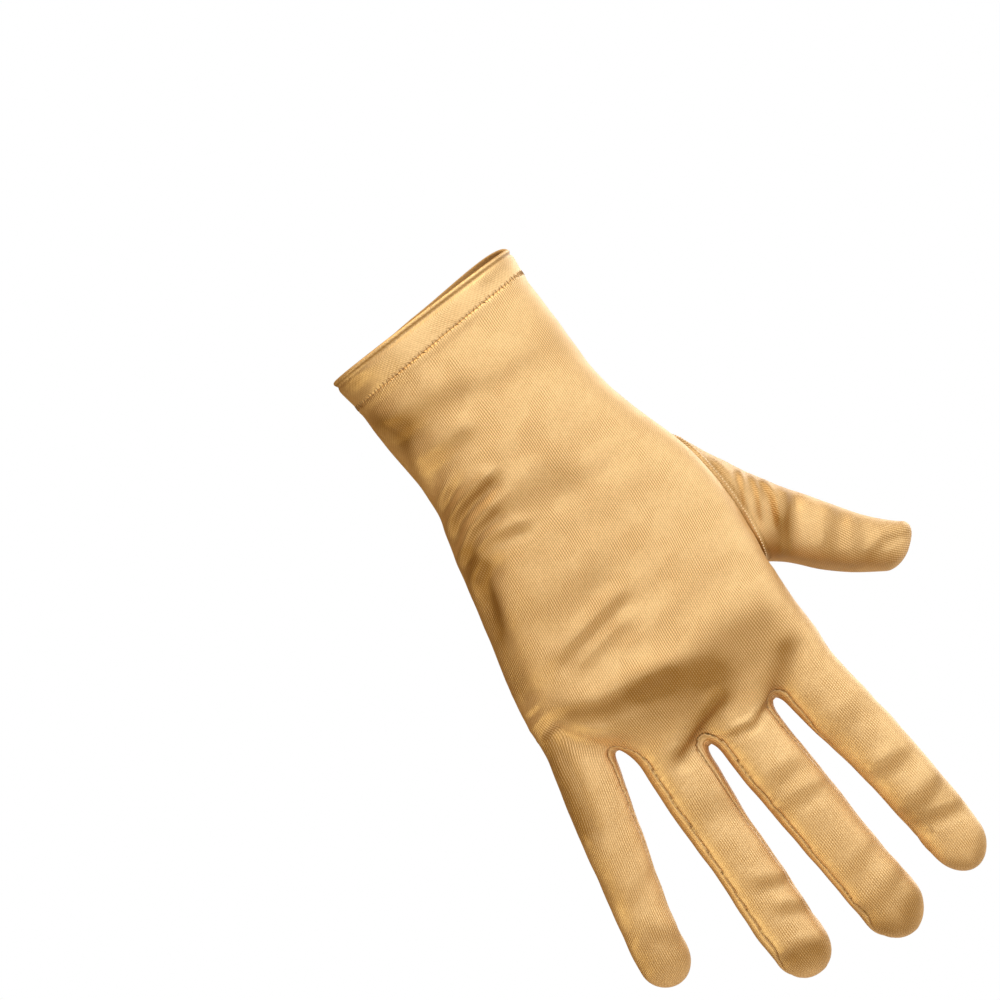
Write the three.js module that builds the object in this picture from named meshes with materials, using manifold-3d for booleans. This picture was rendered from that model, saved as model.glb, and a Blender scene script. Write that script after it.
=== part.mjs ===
// Wrist length dress glove in satin, for a right hand, in the shape of the hand that it was cut for.
// +Z runs up the arm, so the fingers point down. The back of the hand faces -Y, the palm +Y and the
// thumb +X. The origin is the centre of the cuff opening. All lengths are millimetres.

import * as THREE from 'three';
import { mergeVertices } from 'three/addons/utils/BufferGeometryUtils.js';
import Module from 'manifold-3d';

const wasm = await Module();
wasm.setup();

// Cloth and sewing
const CLOTH = 1.0; // wall of the satin
const HEM_CLOTH = 1.7; // the hem is the satin turned over on itself
const HEM_LENGTH = 9.6; // rim to the hem's stitching
const SEAM_GAP = 0.3; // between two pieces that are sewn together

// Hand
const HAND_LENGTH = 151; // rim to the crotch between index and middle finger
const CUFF_BREADTH = 64.3;
const CUFF_DEPTH = 43;
const WRIST_BREADTH = 61;
const WRIST_DEPTH = 40;
const PALM_BREADTH = 85;
const PALM_DEPTH = 33;
const KNUCKLE_DEPTH = 27;
const RIM_RISE = 3.5; // how much higher the rim stands at the palm's thumb side
const FOLD_DEPTH = 1.6; // deepest of the dents in the hand

// Fingers, each measured from its crotch to its tip
const INDEX_LENGTH = 74;
const INDEX_BREADTH = 19;
const INDEX_DEPTH = 16;
const MIDDLE_LENGTH = 79;
const MIDDLE_BREADTH = 19.4;
const MIDDLE_DEPTH = 16.5;
const RING_LENGTH = 80;
const RING_BREADTH = 18.5;
const RING_DEPTH = 15.5;
const LITTLE_LENGTH = 64.3;
const LITTLE_BREADTH = 18;
const LITTLE_DEPTH = 14;
const FINGER_BEND = 4; // how far each tip bends towards the palm

// Thumb
const THUMB_LENGTH = 66; // from inside the hand to the tip
const THUMB_BREADTH = 20;
const THUMB_DEPTH = 17;
const THUMB_FOLD_DEPTH = 1.0;

// Strips between the fingers
const STRIP_BREADTH = 10.6; // at the crotch
const STRIP_END_BREADTH = 3; // where a strip runs out on the side of its finger

// Facets
const HAND_SIDES = 40;
const FINGER_SIDES = 14;
const THUMB_SIDES = 20;
const TIP_STEPS = 3;
const SQUARENESS = 2.35; // 2 is an ellipse, more is a rounder box

// Sections of the hand. along is a share of HAND_LENGTH. little and thumb are the two edges as shares
// of the named breadth, back and palm the two faces as shares of the named depth. arch is how far the
// section's little finger side lies up the hand, as a share of HAND_LENGTH: it follows the crotches.
const HAND_SECTIONS = [
  { along: 0.0, breadth: CUFF_BREADTH, little: -0.513, thumb: 0.487, depth: CUFF_DEPTH, back: 0.48, palm: 0.52, arch: 0 },
  { along: 0.04, breadth: CUFF_BREADTH, little: -0.503, thumb: 0.472, depth: CUFF_DEPTH, back: 0.475, palm: 0.51, arch: 0 },
  { along: 0.075, breadth: WRIST_BREADTH, little: -0.514, thumb: 0.49, depth: CUFF_DEPTH, back: 0.47, palm: 0.5, arch: 0 },
  { along: 0.12, breadth: WRIST_BREADTH, little: -0.52, thumb: 0.488, depth: WRIST_DEPTH, back: 0.5, palm: 0.53, arch: 0 },
  { along: 0.172, breadth: WRIST_BREADTH, little: -0.52, thumb: 0.492, depth: WRIST_DEPTH, back: 0.49, palm: 0.52, arch: 0 },
  { along: 0.232, breadth: WRIST_BREADTH, little: -0.508, thumb: 0.487, depth: WRIST_DEPTH, back: 0.485, palm: 0.515, arch: 0 },
  { along: 0.291, breadth: WRIST_BREADTH, little: -0.51, thumb: 0.487, depth: WRIST_DEPTH, back: 0.475, palm: 0.51, arch: 0 },
  { along: 0.344, breadth: WRIST_BREADTH, little: -0.535, thumb: 0.505, depth: WRIST_DEPTH, back: 0.46, palm: 0.495, arch: 0 },
  { along: 0.391, breadth: PALM_BREADTH, little: -0.411, thumb: 0.38, depth: PALM_DEPTH, back: 0.53, palm: 0.58, arch: 0 },
  { along: 0.444, breadth: PALM_BREADTH, little: -0.434, thumb: 0.412, depth: PALM_DEPTH, back: 0.51, palm: 0.57, arch: 0 },
  { along: 0.497, breadth: PALM_BREADTH, little: -0.458, thumb: 0.439, depth: PALM_DEPTH, back: 0.49, palm: 0.56, arch: 0 },
  { along: 0.556, breadth: PALM_BREADTH, little: -0.488, thumb: 0.452, depth: PALM_DEPTH, back: 0.47, palm: 0.55, arch: 0 },
  { along: 0.616, breadth: PALM_BREADTH, little: -0.516, thumb: 0.456, depth: PALM_DEPTH, back: 0.45, palm: 0.53, arch: 0 },
  { along: 0.675, breadth: PALM_BREADTH, little: -0.546, thumb: 0.451, depth: PALM_DEPTH, back: 0.44, palm: 0.5, arch: 0 },
  { along: 0.728, breadth: PALM_BREADTH, little: -0.571, thumb: 0.436, depth: KNUCKLE_DEPTH, back: 0.53, palm: 0.58, arch: 0 },
  { along: 0.775, breadth: PALM_BREADTH, little: -0.581, thumb: 0.422, depth: KNUCKLE_DEPTH, back: 0.52, palm: 0.55, arch: 0 },
  { along: 0.821, breadth: PALM_BREADTH, little: -0.586, thumb: 0.414, depth: KNUCKLE_DEPTH, back: 0.5, palm: 0.52, arch: 0.02 },
  { along: 0.868, breadth: PALM_BREADTH, little: -0.576, thumb: 0.404, depth: KNUCKLE_DEPTH, back: 0.46, palm: 0.47, arch: 0.055 },
  { along: 0.914, breadth: PALM_BREADTH, little: -0.559, thumb: 0.396, depth: KNUCKLE_DEPTH, back: 0.41, palm: 0.42, arch: 0.106 },
  { along: 0.954, breadth: PALM_BREADTH, little: -0.541, thumb: 0.392, depth: KNUCKLE_DEPTH, back: 0.34, palm: 0.35, arch: 0.16 },
  { along: 0.98, breadth: PALM_BREADTH, little: -0.53, thumb: 0.38, depth: KNUCKLE_DEPTH, back: 0.26, palm: 0.27, arch: 0.2 },
  { along: 0.996, breadth: PALM_BREADTH, little: -0.524, thumb: 0.36, depth: KNUCKLE_DEPTH, back: 0.13, palm: 0.13, arch: 0.225 },
];

// Dents in the hand's two faces. along is a share of HAND_LENGTH, across a share of PALM_BREADTH,
// length and breadth are shares of PALM_BREADTH, turn is the dent's slant in degrees and depth is a
// share of FOLD_DEPTH. A negative depth is a knuckle or a roll of cloth that stands out.
const HAND_DENTS = [
  { face: 'back', along: 0.16, across: -0.32, length: 0.13, breadth: 0.07, turn: 10, depth: 1.0 },
  { face: 'back', along: 0.105, across: -0.05, length: 0.3, breadth: 0.05, turn: -4, depth: -0.35 },
  { face: 'back', along: 0.34, across: -0.3, length: 0.14, breadth: 0.055, turn: -30, depth: 0.8 },
  { face: 'back', along: 0.4, across: -0.33, length: 0.16, breadth: 0.05, turn: -22, depth: 0.7 },
  { face: 'back', along: 0.37, across: -0.3, length: 0.14, breadth: 0.045, turn: -26, depth: -0.5 },
  { face: 'back', along: 0.82, across: -0.3, length: 0.2, breadth: 0.07, turn: -18, depth: 1.0 },
  { face: 'back', along: 0.87, across: -0.02, length: 0.24, breadth: 0.07, turn: -12, depth: 0.9 },
  { face: 'back', along: 0.835, across: -0.46, length: 0.07, breadth: 0.06, turn: 0, depth: -0.5 },
  { face: 'back', along: 0.96, across: -0.13, length: 0.09, breadth: 0.08, turn: 90, depth: 0.7 },
  { face: 'back', along: 0.96, across: 0.2, length: 0.08, breadth: 0.08, turn: 90, depth: 0.6 },
  { face: 'palm', along: 0.66, across: -0.02, length: 0.2, breadth: 0.22, turn: 20, depth: 1.0 },
  { face: 'palm', along: 0.86, across: -0.05, length: 0.34, breadth: 0.06, turn: -8, depth: 0.8 },
];

// Sections of a finger. along is a share of the finger's length from the crotch, middle the side
// step of its centre as a share of that length, and breadth and depth are shares of the finger's own.
const INDEX_SECTIONS = [
  { along: -0.36, middle: -0.012, breadth: 0.84, depth: 0.84 },
  { along: -0.2, middle: -0.006, breadth: 0.96, depth: 0.95 },
  { along: -0.07, middle: -0.005, breadth: 1.01, depth: 1.02 },
  { along: 0.04, middle: 0.001, breadth: 1.03, depth: 1.05 },
  { along: 0.15, middle: 0.014, breadth: 1.02, depth: 1.03 },
  { along: 0.27, middle: 0.033, breadth: 0.97, depth: 0.98 },
  { along: 0.39, middle: 0.049, breadth: 0.92, depth: 0.95 },
  { along: 0.53, middle: 0.059, breadth: 0.905, depth: 0.91 },
  { along: 0.66, middle: 0.066, breadth: 0.895, depth: 0.87 },
  { along: 0.784, middle: 0.071, breadth: 0.88, depth: 0.83 },
  { along: 0.865, middle: 0.073, breadth: 0.84, depth: 0.78 },
];
const MIDDLE_SECTIONS = [
  { along: -0.33, middle: 0.0, breadth: 0.8, depth: 0.82 },
  { along: -0.19, middle: 0.0, breadth: 0.93, depth: 0.93 },
  { along: -0.06, middle: 0.0, breadth: 1.0, depth: 1.02 },
  { along: 0.04, middle: 0.0, breadth: 1.0, depth: 1.05 },
  { along: 0.155, middle: -0.004, breadth: 1.0, depth: 1.03 },
  { along: 0.28, middle: 0.001, breadth: 0.97, depth: 0.98 },
  { along: 0.41, middle: 0.008, breadth: 0.963, depth: 0.95 },
  { along: 0.535, middle: 0.014, breadth: 0.955, depth: 0.92 },
  { along: 0.66, middle: 0.018, breadth: 0.945, depth: 0.88 },
  { along: 0.775, middle: 0.024, breadth: 0.948, depth: 0.84 },
  { along: 0.865, middle: 0.031, breadth: 0.93, depth: 0.79 },
];
const RING_SECTIONS = [
  { along: -0.27, middle: 0.0, breadth: 0.8, depth: 0.82 },
  { along: -0.15, middle: 0.0, breadth: 0.9, depth: 0.94 },
  { along: -0.035, middle: 0.0, breadth: 0.98, depth: 1.02 },
  { along: 0.065, middle: 0.0, breadth: 1.02, depth: 1.05 },
  { along: 0.165, middle: -0.005, breadth: 1.02, depth: 1.03 },
  { along: 0.28, middle: -0.016, breadth: 0.975, depth: 0.98 },
  { along: 0.403, middle: -0.025, breadth: 0.93, depth: 0.95 },
  { along: 0.54, middle: -0.032, breadth: 0.93, depth: 0.92 },
  { along: 0.68, middle: -0.042, breadth: 0.94, depth: 0.88 },
  { along: 0.803, middle: -0.051, breadth: 0.915, depth: 0.84 },
  { along: 0.89, middle: -0.051, breadth: 0.86, depth: 0.78 },
];
const LITTLE_SECTIONS = [
  { along: -0.42, middle: 0.045, breadth: 0.75, depth: 0.8 },
  { along: -0.25, middle: 0.03, breadth: 0.86, depth: 0.92 },
  { along: -0.093, middle: 0.012, breadth: 1.0, depth: 1.0 },
  { along: 0.031, middle: -0.008, breadth: 1.09, depth: 1.05 },
  { along: 0.156, middle: -0.045, breadth: 1.05, depth: 1.03 },
  { along: 0.296, middle: -0.092, breadth: 1.0, depth: 0.99 },
  { along: 0.436, middle: -0.132, breadth: 0.965, depth: 0.95 },
  { along: 0.576, middle: -0.172, breadth: 0.917, depth: 0.92 },
  { along: 0.716, middle: -0.21, breadth: 0.86, depth: 0.89 },
  { along: 0.825, middle: -0.236, breadth: 0.85, depth: 0.85 },
  { along: 0.887, middle: -0.242, breadth: 0.84, depth: 0.8 },
];

// Each finger's crotch: across is a share of PALM_BREADTH and down a share of HAND_LENGTH. tipAcross
// is the side step of the very tip from the last section, as a share of the finger's breadth.
const FINGERS = {
  index: {
    across: 0.293, down: 1.0, tipAcross: 0.0, length: INDEX_LENGTH, breadth: INDEX_BREADTH,
    depth: INDEX_DEPTH, sections: INDEX_SECTIONS,
  },
  middle: {
    across: 0.016, down: 0.992, tipAcross: 0.02, length: MIDDLE_LENGTH, breadth: MIDDLE_BREADTH,
    depth: MIDDLE_DEPTH, sections: MIDDLE_SECTIONS,
  },
  ring: {
    across: -0.245, down: 0.939, tipAcross: 0.02, length: RING_LENGTH, breadth: RING_BREADTH,
    depth: RING_DEPTH, sections: RING_SECTIONS,
  },
  little: {
    across: -0.506, down: 0.894, tipAcross: 0.03, length: LITTLE_LENGTH, breadth: LITTLE_BREADTH,
    depth: LITTLE_DEPTH, sections: LITTLE_SECTIONS,
  },
};

// The thumb's root: across is a share of PALM_BREADTH and down a share of HAND_LENGTH.
const THUMB_ROOT = { across: 0.347, down: 0.583 };

// Sections of the thumb. out, down and palm place the section's centre from the root, as shares of
// THUMB_LENGTH. turn is the section's slant in degrees: it starts upright inside the hand and turns
// square to the thumb. breadth and depth are shares of the thumb's own.
const THUMB_SECTIONS = [
  { out: -0.144, down: -0.03, palm: 0.05, turn: 0, breadth: 2.1, depth: 0.9 },
  { out: 0.0, down: 0.0, palm: 0.095, turn: 3, breadth: 2.3, depth: 1.08 },
  { out: 0.08, down: 0.102, palm: 0.132, turn: 9, breadth: 2.05, depth: 1.15 },
  { out: 0.136, down: 0.193, palm: 0.15, turn: 14, breadth: 1.67, depth: 1.15 },
  { out: 0.19, down: 0.28, palm: 0.16, turn: 22, breadth: 1.34, depth: 1.1 },
  { out: 0.248, down: 0.36, palm: 0.167, turn: 33, breadth: 1.12, depth: 1.05 },
  { out: 0.31, down: 0.442, palm: 0.174, turn: 43, breadth: 1.02, depth: 1.0 },
  { out: 0.371, down: 0.525, palm: 0.181, turn: 48, breadth: 0.97, depth: 0.97 },
  { out: 0.428, down: 0.598, palm: 0.188, turn: 51, breadth: 0.9, depth: 0.95 },
  { out: 0.483, down: 0.658, palm: 0.196, turn: 52, breadth: 0.84, depth: 0.92 },
  { out: 0.538, down: 0.707, palm: 0.204, turn: 52, breadth: 0.8, depth: 0.87 },
  { out: 0.585, down: 0.742, palm: 0.21, turn: 51, breadth: 0.72, depth: 0.78 },
];
const THUMB_TIP = { out: 0.66, down: 0.785, palm: 0.222 };

// Folds round the thumb's base. along is a share of THUMB_LENGTH down from the root, breadth the
// fold's own as a share of THUMB_LENGTH and depth a share of THUMB_FOLD_DEPTH.
const THUMB_FOLDS = [
  { along: 0.2, breadth: 0.035, depth: 0.8 },
  { along: 0.32, breadth: 0.035, depth: 1.0 },
  { along: 0.44, breadth: 0.035, depth: 0.7 },
];

// A point of the unit section at an angle: across from -1 to 1, face from -1 (back) to 1 (palm).
function sectionPoint(angle) {
  const c = Math.cos(angle);
  const s = Math.sin(angle);
  return {
    across: Math.sign(c) * Math.abs(c) ** (2 / SQUARENESS),
    face: Math.sign(s) * Math.abs(s) ** (2 / SQUARENESS),
  };
}

// How far the cloth of one face of the hand is pressed in at a place.
function handDent(face, x, z) {
  let depth = 0;
  for (const dent of HAND_DENTS) {
    if (dent.face !== face) continue;
    const turn = THREE.MathUtils.degToRad(dent.turn);
    const dx = x - dent.across * PALM_BREADTH;
    const dz = z + dent.along * HAND_LENGTH;
    const u = (dx * Math.cos(turn) + dz * Math.sin(turn)) / (dent.length * PALM_BREADTH);
    const v = (dz * Math.cos(turn) - dx * Math.sin(turn)) / (dent.breadth * PALM_BREADTH);
    depth += dent.depth * FOLD_DEPTH * Math.exp(-(u * u + v * v));
  }
  return depth;
}

// The hand's section at a share of its length, read between the rows of the table.
function handSectionAt(along) {
  const edge = (row, side) => row[side] * row.breadth;
  const face = (row, side) => row[side] * row.depth;
  let i = 0;
  while (i < HAND_SECTIONS.length - 2 && HAND_SECTIONS[i + 1].along < along) i += 1;
  const [a, b] = [HAND_SECTIONS[i], HAND_SECTIONS[i + 1]];
  const t = (along - a.along) / (b.along - a.along);
  const mix = (from, to) => from + (to - from) * t;
  return {
    along,
    little: mix(edge(a, 'little'), edge(b, 'little')),
    thumb: mix(edge(a, 'thumb'), edge(b, 'thumb')),
    back: mix(face(a, 'back'), face(b, 'back')),
    palm: mix(face(a, 'palm'), face(b, 'palm')),
    arch: mix(a.arch, b.arch) * HAND_LENGTH,
  };
}

// One ring of the hand, pressed in by the dents and set in by the cloth where it is the inside.
function handRing(section, inset) {
  const left = section.little + inset;
  const right = section.thumb - inset;
  const endStart = 0.9;
  const endShare = THREE.MathUtils.clamp((section.along - endStart) / (1 - endStart), 0, 1);
  const ring = [];
  for (let i = 0; i < HAND_SIDES; i += 1) {
    const p = sectionPoint((2 * Math.PI * i) / HAND_SIDES);
    const x = (left + right) / 2 + ((right - left) / 2) * p.across;
    const little = (section.thumb - x) / (section.thumb - section.little);
    const z = -section.along * HAND_LENGTH + section.arch * little ** 4 + inset * endShare;
    const depth = (p.face < 0 ? section.back : section.palm) - inset;
    const dent = handDent(p.face < 0 ? 'back' : 'palm', x, z) * Math.abs(p.face);
    ring.push(new THREE.Vector3(x, p.face * depth - Math.sign(p.face) * dent, z));
  }
  return ring;
}

// The centre, half breadth and half depth of a finger at a share of its length.
function fingerSectionAt(finger, along) {
  const rows = finger.sections;
  let i = 0;
  while (i < rows.length - 2 && rows[i + 1].along < along) i += 1;
  const [a, b] = [rows[i], rows[i + 1]];
  const t = Math.min((along - a.along) / (b.along - a.along), 1);
  const mix = (key) => a[key] + (b[key] - a[key]) * t;
  return {
    x: finger.across * PALM_BREADTH + mix('middle') * finger.length,
    y: FINGER_BEND * Math.max(along, 0) ** 2,
    z: -finger.down * HAND_LENGTH - along * finger.length,
    halfBreadth: (mix('breadth') * finger.breadth) / 2,
    halfDepth: (mix('depth') * finger.depth) / 2,
  };
}

function fingerRing(section, inset, shrink, step) {
  const ring = [];
  for (let i = 0; i < FINGER_SIDES; i += 1) {
    const p = sectionPoint((2 * Math.PI * (i + 0.5)) / FINGER_SIDES);
    ring.push(new THREE.Vector3(
      section.x + step + p.across * (section.halfBreadth - inset) * shrink,
      section.y + p.face * (section.halfDepth - inset) * shrink,
      section.z,
    ));
  }
  return ring;
}

// A closed body through rings of the same number of points. Each end is a point, or is closed
// across the ring from one face to the other.
function loft(rings, endPoint) {
  const count = rings[0].length;
  const points = rings.flat();
  const faces = [];
  for (let r = 0; r < rings.length - 1; r += 1) {
    for (let i = 0; i < count; i += 1) {
      const j = (i + 1) % count;
      const [a, b] = [r * count + i, r * count + j];
      const [c, d] = [a + count, b + count];
      faces.push(a, c, b, b, c, d);
    }
  }
  closeAcross(faces, 0, count, false);
  if (endPoint) {
    const last = (rings.length - 1) * count;
    points.push(endPoint);
    for (let i = 0; i < count; i += 1) {
      faces.push(last + i, points.length - 1, last + ((i + 1) % count));
    }
  } else {
    closeAcross(faces, (rings.length - 1) * count, count, true);
  }
  return solidFrom(points, faces);
}

// Closes a ring with a strip of faces between its back and its palm side.
function closeAcross(faces, start, count, facesEnd) {
  const add = (a, b, c) => faces.push(...(facesEnd ? [a, c, b] : [a, b, c]));
  for (let i = 0; i < count / 2; i += 1) {
    const [a, b] = [start + i, start + i + 1];
    const [c, d] = [start + ((count - i) % count), start + count - i - 1];
    if (i > 0) add(a, b, c);
    if (b !== d) add(b, d, c);
  }
}

// A ring of cloth with no ends: the rings follow one another round its edge and back to the first.
function closedBand(rings) {
  const count = rings[0].length;
  const faces = [];
  for (let r = 0; r < rings.length; r += 1) {
    const next = (r + 1) % rings.length;
    for (let i = 0; i < count; i += 1) {
      const j = (i + 1) % count;
      const [a, b] = [r * count + i, r * count + j];
      const [c, d] = [next * count + i, next * count + j];
      faces.push(a, b, c, b, d, c);
    }
  }
  return solidFrom(rings.flat(), faces);
}

function solidFrom(points, faces) {
  const positions = new Float32Array(points.flatMap((p) => [p.x, p.y, p.z]));
  const raw = new THREE.BufferGeometry();
  raw.setAttribute('position', new THREE.BufferAttribute(positions, 3));
  raw.setIndex(faces);
  return solid(raw);
}

// A closed mesh as a body that can be joined and cut.
function solid(geometry) {
  geometry.deleteAttribute('normal');
  geometry.deleteAttribute('uv');
  const merged = mergeVertices(geometry, 1e-4);
  const mesh = new wasm.Mesh({
    numProp: 3,
    vertProperties: Float32Array.from(merged.attributes.position.array),
    triVerts: Uint32Array.from(merged.index.array),
  });
  return new wasm.Manifold(mesh);
}

// The hand's body from just below the hem to the crotches, or its hollow.
function handBody(inset, grow = 0) {
  const start = (HEM_LENGTH + SEAM_GAP) / HAND_LENGTH;
  const below = HAND_SECTIONS.filter((row) => row.along > start + 0.01);
  const sections = [start, ...below.map((row) => row.along)].map(handSectionAt);
  const rings = sections.map((section) => handRing(section, inset - grow));
  if (inset > 0) {
    rings.unshift(rings[0].map((p) => p.clone().setZ(p.z + HEM_LENGTH)));
  }
  return loft(rings, null);
}

function fingerBody(finger, inset) {
  const rows = finger.sections;
  const rings = rows.map((row) => fingerRing(fingerSectionAt(finger, row.along), inset, 1, 0));
  const last = rows[rows.length - 1].along;
  const tip = 1 - inset / finger.length;
  for (let k = 1; k <= TIP_STEPS; k += 1) {
    const turn = (k / (TIP_STEPS + 1)) * (Math.PI / 2);
    const section = fingerSectionAt(finger, last + (tip - last) * Math.sin(turn));
    const step = finger.tipAcross * finger.breadth * Math.sin(turn) ** 2;
    rings.push(fingerRing(section, inset, Math.cos(turn), step));
  }
  const end = fingerSectionAt(finger, tip);
  const endPoint = new THREE.Vector3(end.x + finger.tipAcross * finger.breadth, end.y, end.z);
  return loft(rings, endPoint);
}

// The depth of the thumb's folds at a distance down from its root.
function thumbFold(down) {
  let depth = 0;
  for (const fold of THUMB_FOLDS) {
    const away = (down / THUMB_LENGTH - fold.along) / fold.breadth;
    depth += fold.depth * THUMB_FOLD_DEPTH * Math.exp(-away * away);
  }
  return depth;
}

function thumbRing(row, inset, shrink) {
  const turn = THREE.MathUtils.degToRad(row.turn);
  const side = new THREE.Vector3(Math.sin(turn), 0, Math.cos(turn));
  const centre = new THREE.Vector3(
    THUMB_ROOT.across * PALM_BREADTH + row.out * THUMB_LENGTH,
    row.palm * THUMB_LENGTH,
    -THUMB_ROOT.down * HAND_LENGTH - row.down * THUMB_LENGTH,
  );
  const fold = thumbFold(row.down * THUMB_LENGTH);
  const halfBreadth = ((row.breadth * THUMB_BREADTH) / 2 - inset) * shrink;
  const halfDepth = ((row.depth * THUMB_DEPTH) / 2 - inset) * shrink;
  const ring = [];
  for (let i = 0; i < THUMB_SIDES; i += 1) {
    const p = sectionPoint((2 * Math.PI * i) / THUMB_SIDES);
    const point = centre.clone().addScaledVector(side, p.across * halfBreadth);
    point.y += p.face * (halfDepth - (p.face < 0 ? fold * -p.face : 0));
    ring.push(point);
  }
  return ring;
}

function thumbBody(inset) {
  const rings = THUMB_SECTIONS.map((row) => thumbRing(row, inset, 1));
  const last = THUMB_SECTIONS[THUMB_SECTIONS.length - 1];
  const reach = 1 - inset / ((THUMB_TIP.out - last.out) * THUMB_LENGTH * Math.SQRT2);
  const between = (share) => ({
    ...last,
    out: last.out + (THUMB_TIP.out - last.out) * share,
    down: last.down + (THUMB_TIP.down - last.down) * share,
    palm: last.palm + (THUMB_TIP.palm - last.palm) * share,
  });
  for (let k = 1; k <= TIP_STEPS; k += 1) {
    const turn = (k / (TIP_STEPS + 1)) * (Math.PI / 2);
    rings.push(thumbRing(between(reach * Math.sin(turn)), inset, Math.cos(turn)));
  }
  const end = between(reach);
  const endPoint = new THREE.Vector3(
    THUMB_ROOT.across * PALM_BREADTH + end.out * THUMB_LENGTH,
    end.palm * THUMB_LENGTH,
    -THUMB_ROOT.down * HAND_LENGTH - end.down * THUMB_LENGTH,
  );
  return loft(rings, endPoint);
}

// The room that a strip takes on one finger's side, from above the crotch to where it runs out:
// between the finger's middle and a line halfway to its neighbour.
function stripLeg(finger, neighbour, endShare, grow) {
  const start = -0.2;
  const steps = 7;
  const rings = [];
  for (let k = 0; k <= steps; k += 1) {
    const share = k / steps;
    const along = start + (endShare - start) * share + (k === steps ? grow / finger.length : 0);
    const own = fingerSectionAt(finger, along);
    const other = fingerSectionAt(neighbour, (-own.z - neighbour.down * HAND_LENGTH) / neighbour.length);
    const way = Math.sign(other.x - own.x);
    const middle = (own.x + other.x) / 2 + 0.5 * way;
    const run = Math.max(0, (share - 0.45) / 0.55);
    const half = THREE.MathUtils.lerp(STRIP_BREADTH, STRIP_END_BREADTH, run ** 1.5) / 2 + grow;
    const bottom = own.y - half;
    const top = own.y + half;
    const [left, right] = [Math.min(own.x, middle), Math.max(own.x, middle)];
    rings.push([
      new THREE.Vector3(right, bottom, own.z),
      new THREE.Vector3(right, top, own.z),
      new THREE.Vector3(left, top, own.z),
      new THREE.Vector3(left, bottom, own.z),
    ]);
  }
  return loft(rings, null);
}

function stripRoom(first, second, grow) {
  const legs = first.finger.across > second.finger.across ? [first, second] : [second, first];
  const one = stripLeg(legs[0].finger, legs[1].finger, legs[0].end, grow);
  const two = stripLeg(legs[1].finger, legs[0].finger, legs[1].end, grow);
  return one.add(two);
}

// The hem: the satin turned over at the rim, so its top edge is round.
function hemBody() {
  const roll = HEM_CLOTH / 2;
  const profile = [];
  for (let k = 0; k <= 4; k += 1) {
    const turn = (Math.PI * k) / 4;
    profile.push({ down: roll - roll * Math.sin(turn), inset: roll - roll * Math.cos(turn) });
  }
  profile.push({ down: HEM_LENGTH * 0.5, inset: HEM_CLOTH });
  profile.push({ down: HEM_LENGTH, inset: HEM_CLOTH });
  profile.push({ down: HEM_LENGTH, inset: 0.1 * HEM_CLOTH });
  profile.push({ down: HEM_LENGTH * 0.8, inset: 0 });
  profile.push({ down: HEM_LENGTH * 0.4, inset: -0.1 * HEM_CLOTH });
  const outward = (HEM_CLOTH - CLOTH) / 2;
  const rings = profile.map(({ down, inset }) => {
    const ring = handRing(handSectionAt(down / HAND_LENGTH), inset - outward);
    const rise = RIM_RISE * (1 - down / HEM_LENGTH);
    ring.forEach((point, i) => {
      const angle = (2 * Math.PI * i) / HAND_SIDES;
      const thumbSide = (1 + Math.cos(angle)) / 2;
      point.z += rise * Math.max(0, Math.sin(angle)) ** 0.7 * thumbSide ** 1.5;
    });
    return ring;
  });
  return closedBand(rings);
}

function satin(name, body, colour, roughness) {
  const { vertProperties, triVerts } = body.getMesh();
  const geometry = new THREE.BufferGeometry();
  geometry.setAttribute('position', new THREE.BufferAttribute(Float32Array.from(vertProperties), 3));
  geometry.setIndex(new THREE.BufferAttribute(Uint32Array.from(triVerts), 1));
  geometry.computeVertexNormals();
  const material = new THREE.MeshStandardMaterial({ color: colour, roughness, metalness: 0 });
  const mesh = new THREE.Mesh(geometry, material);
  mesh.name = name;
  return mesh;
}

const fingerList = Object.values(FINGERS);
const join = (bodies) => bodies.reduce((whole, body) => whole.add(body));

const outside = join([handBody(0), ...fingerList.map((finger) => fingerBody(finger, 0))]);
const inside = join([handBody(CLOTH), ...fingerList.map((finger) => fingerBody(finger, CLOTH))]);
const shell = outside.subtract(inside);

// Where each strip runs out on its two fingers, as a share of the finger's length
const STRIPS = [
  { name: 'fourchette_index_middle', first: { finger: FINGERS.index, end: 0.8 }, second: { finger: FINGERS.middle, end: 0.8 } },
  { name: 'fourchette_middle_ring', first: { finger: FINGERS.middle, end: 0.82 }, second: { finger: FINGERS.ring, end: 0.8 } },
  { name: 'fourchette_ring_little', first: { finger: FINGERS.ring, end: 0.82 }, second: { finger: FINGERS.little, end: 0.8 } },
];

const thumbOpening = thumbBody(-SEAM_GAP);
let hand = shell.subtract(thumbOpening);
const strips = STRIPS.map(({ name, first, second }) => {
  hand = hand.subtract(stripRoom(first, second, SEAM_GAP));
  return satin(name, shell.intersect(stripRoom(first, second, 0)), 0xc79a5c, 0.42);
});

const thumb = thumbBody(0).subtract(thumbBody(CLOTH)).subtract(handBody(0, SEAM_GAP));

const glove = new THREE.Group();
glove.add(satin('hand', hand, 0xdcb175, 0.38));
glove.add(satin('cuff_hem', hemBody(), 0xd2a467, 0.4));
glove.add(satin('thumb', thumb, 0xd6aa6c, 0.38));
glove.add(...strips);

export default glove;
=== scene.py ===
"""Wrist length dress glove in gold satin, for a right hand.

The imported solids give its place. Here it gets its looks: smooth cloth with folds, sewn seams,
a turned hem with its thread, and the fine lengthwise rib of the satin.
Tables hold millimetres in the glove's own frame: x towards the thumb, down from the rim of the
cuff to the fingertips, and depth from the middle of the hand (the back of the hand is -y).
"""

import math

import bpy
import numpy as np
from mathutils import Matrix, Vector
from mathutils.bvhtree import BVHTree


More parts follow.
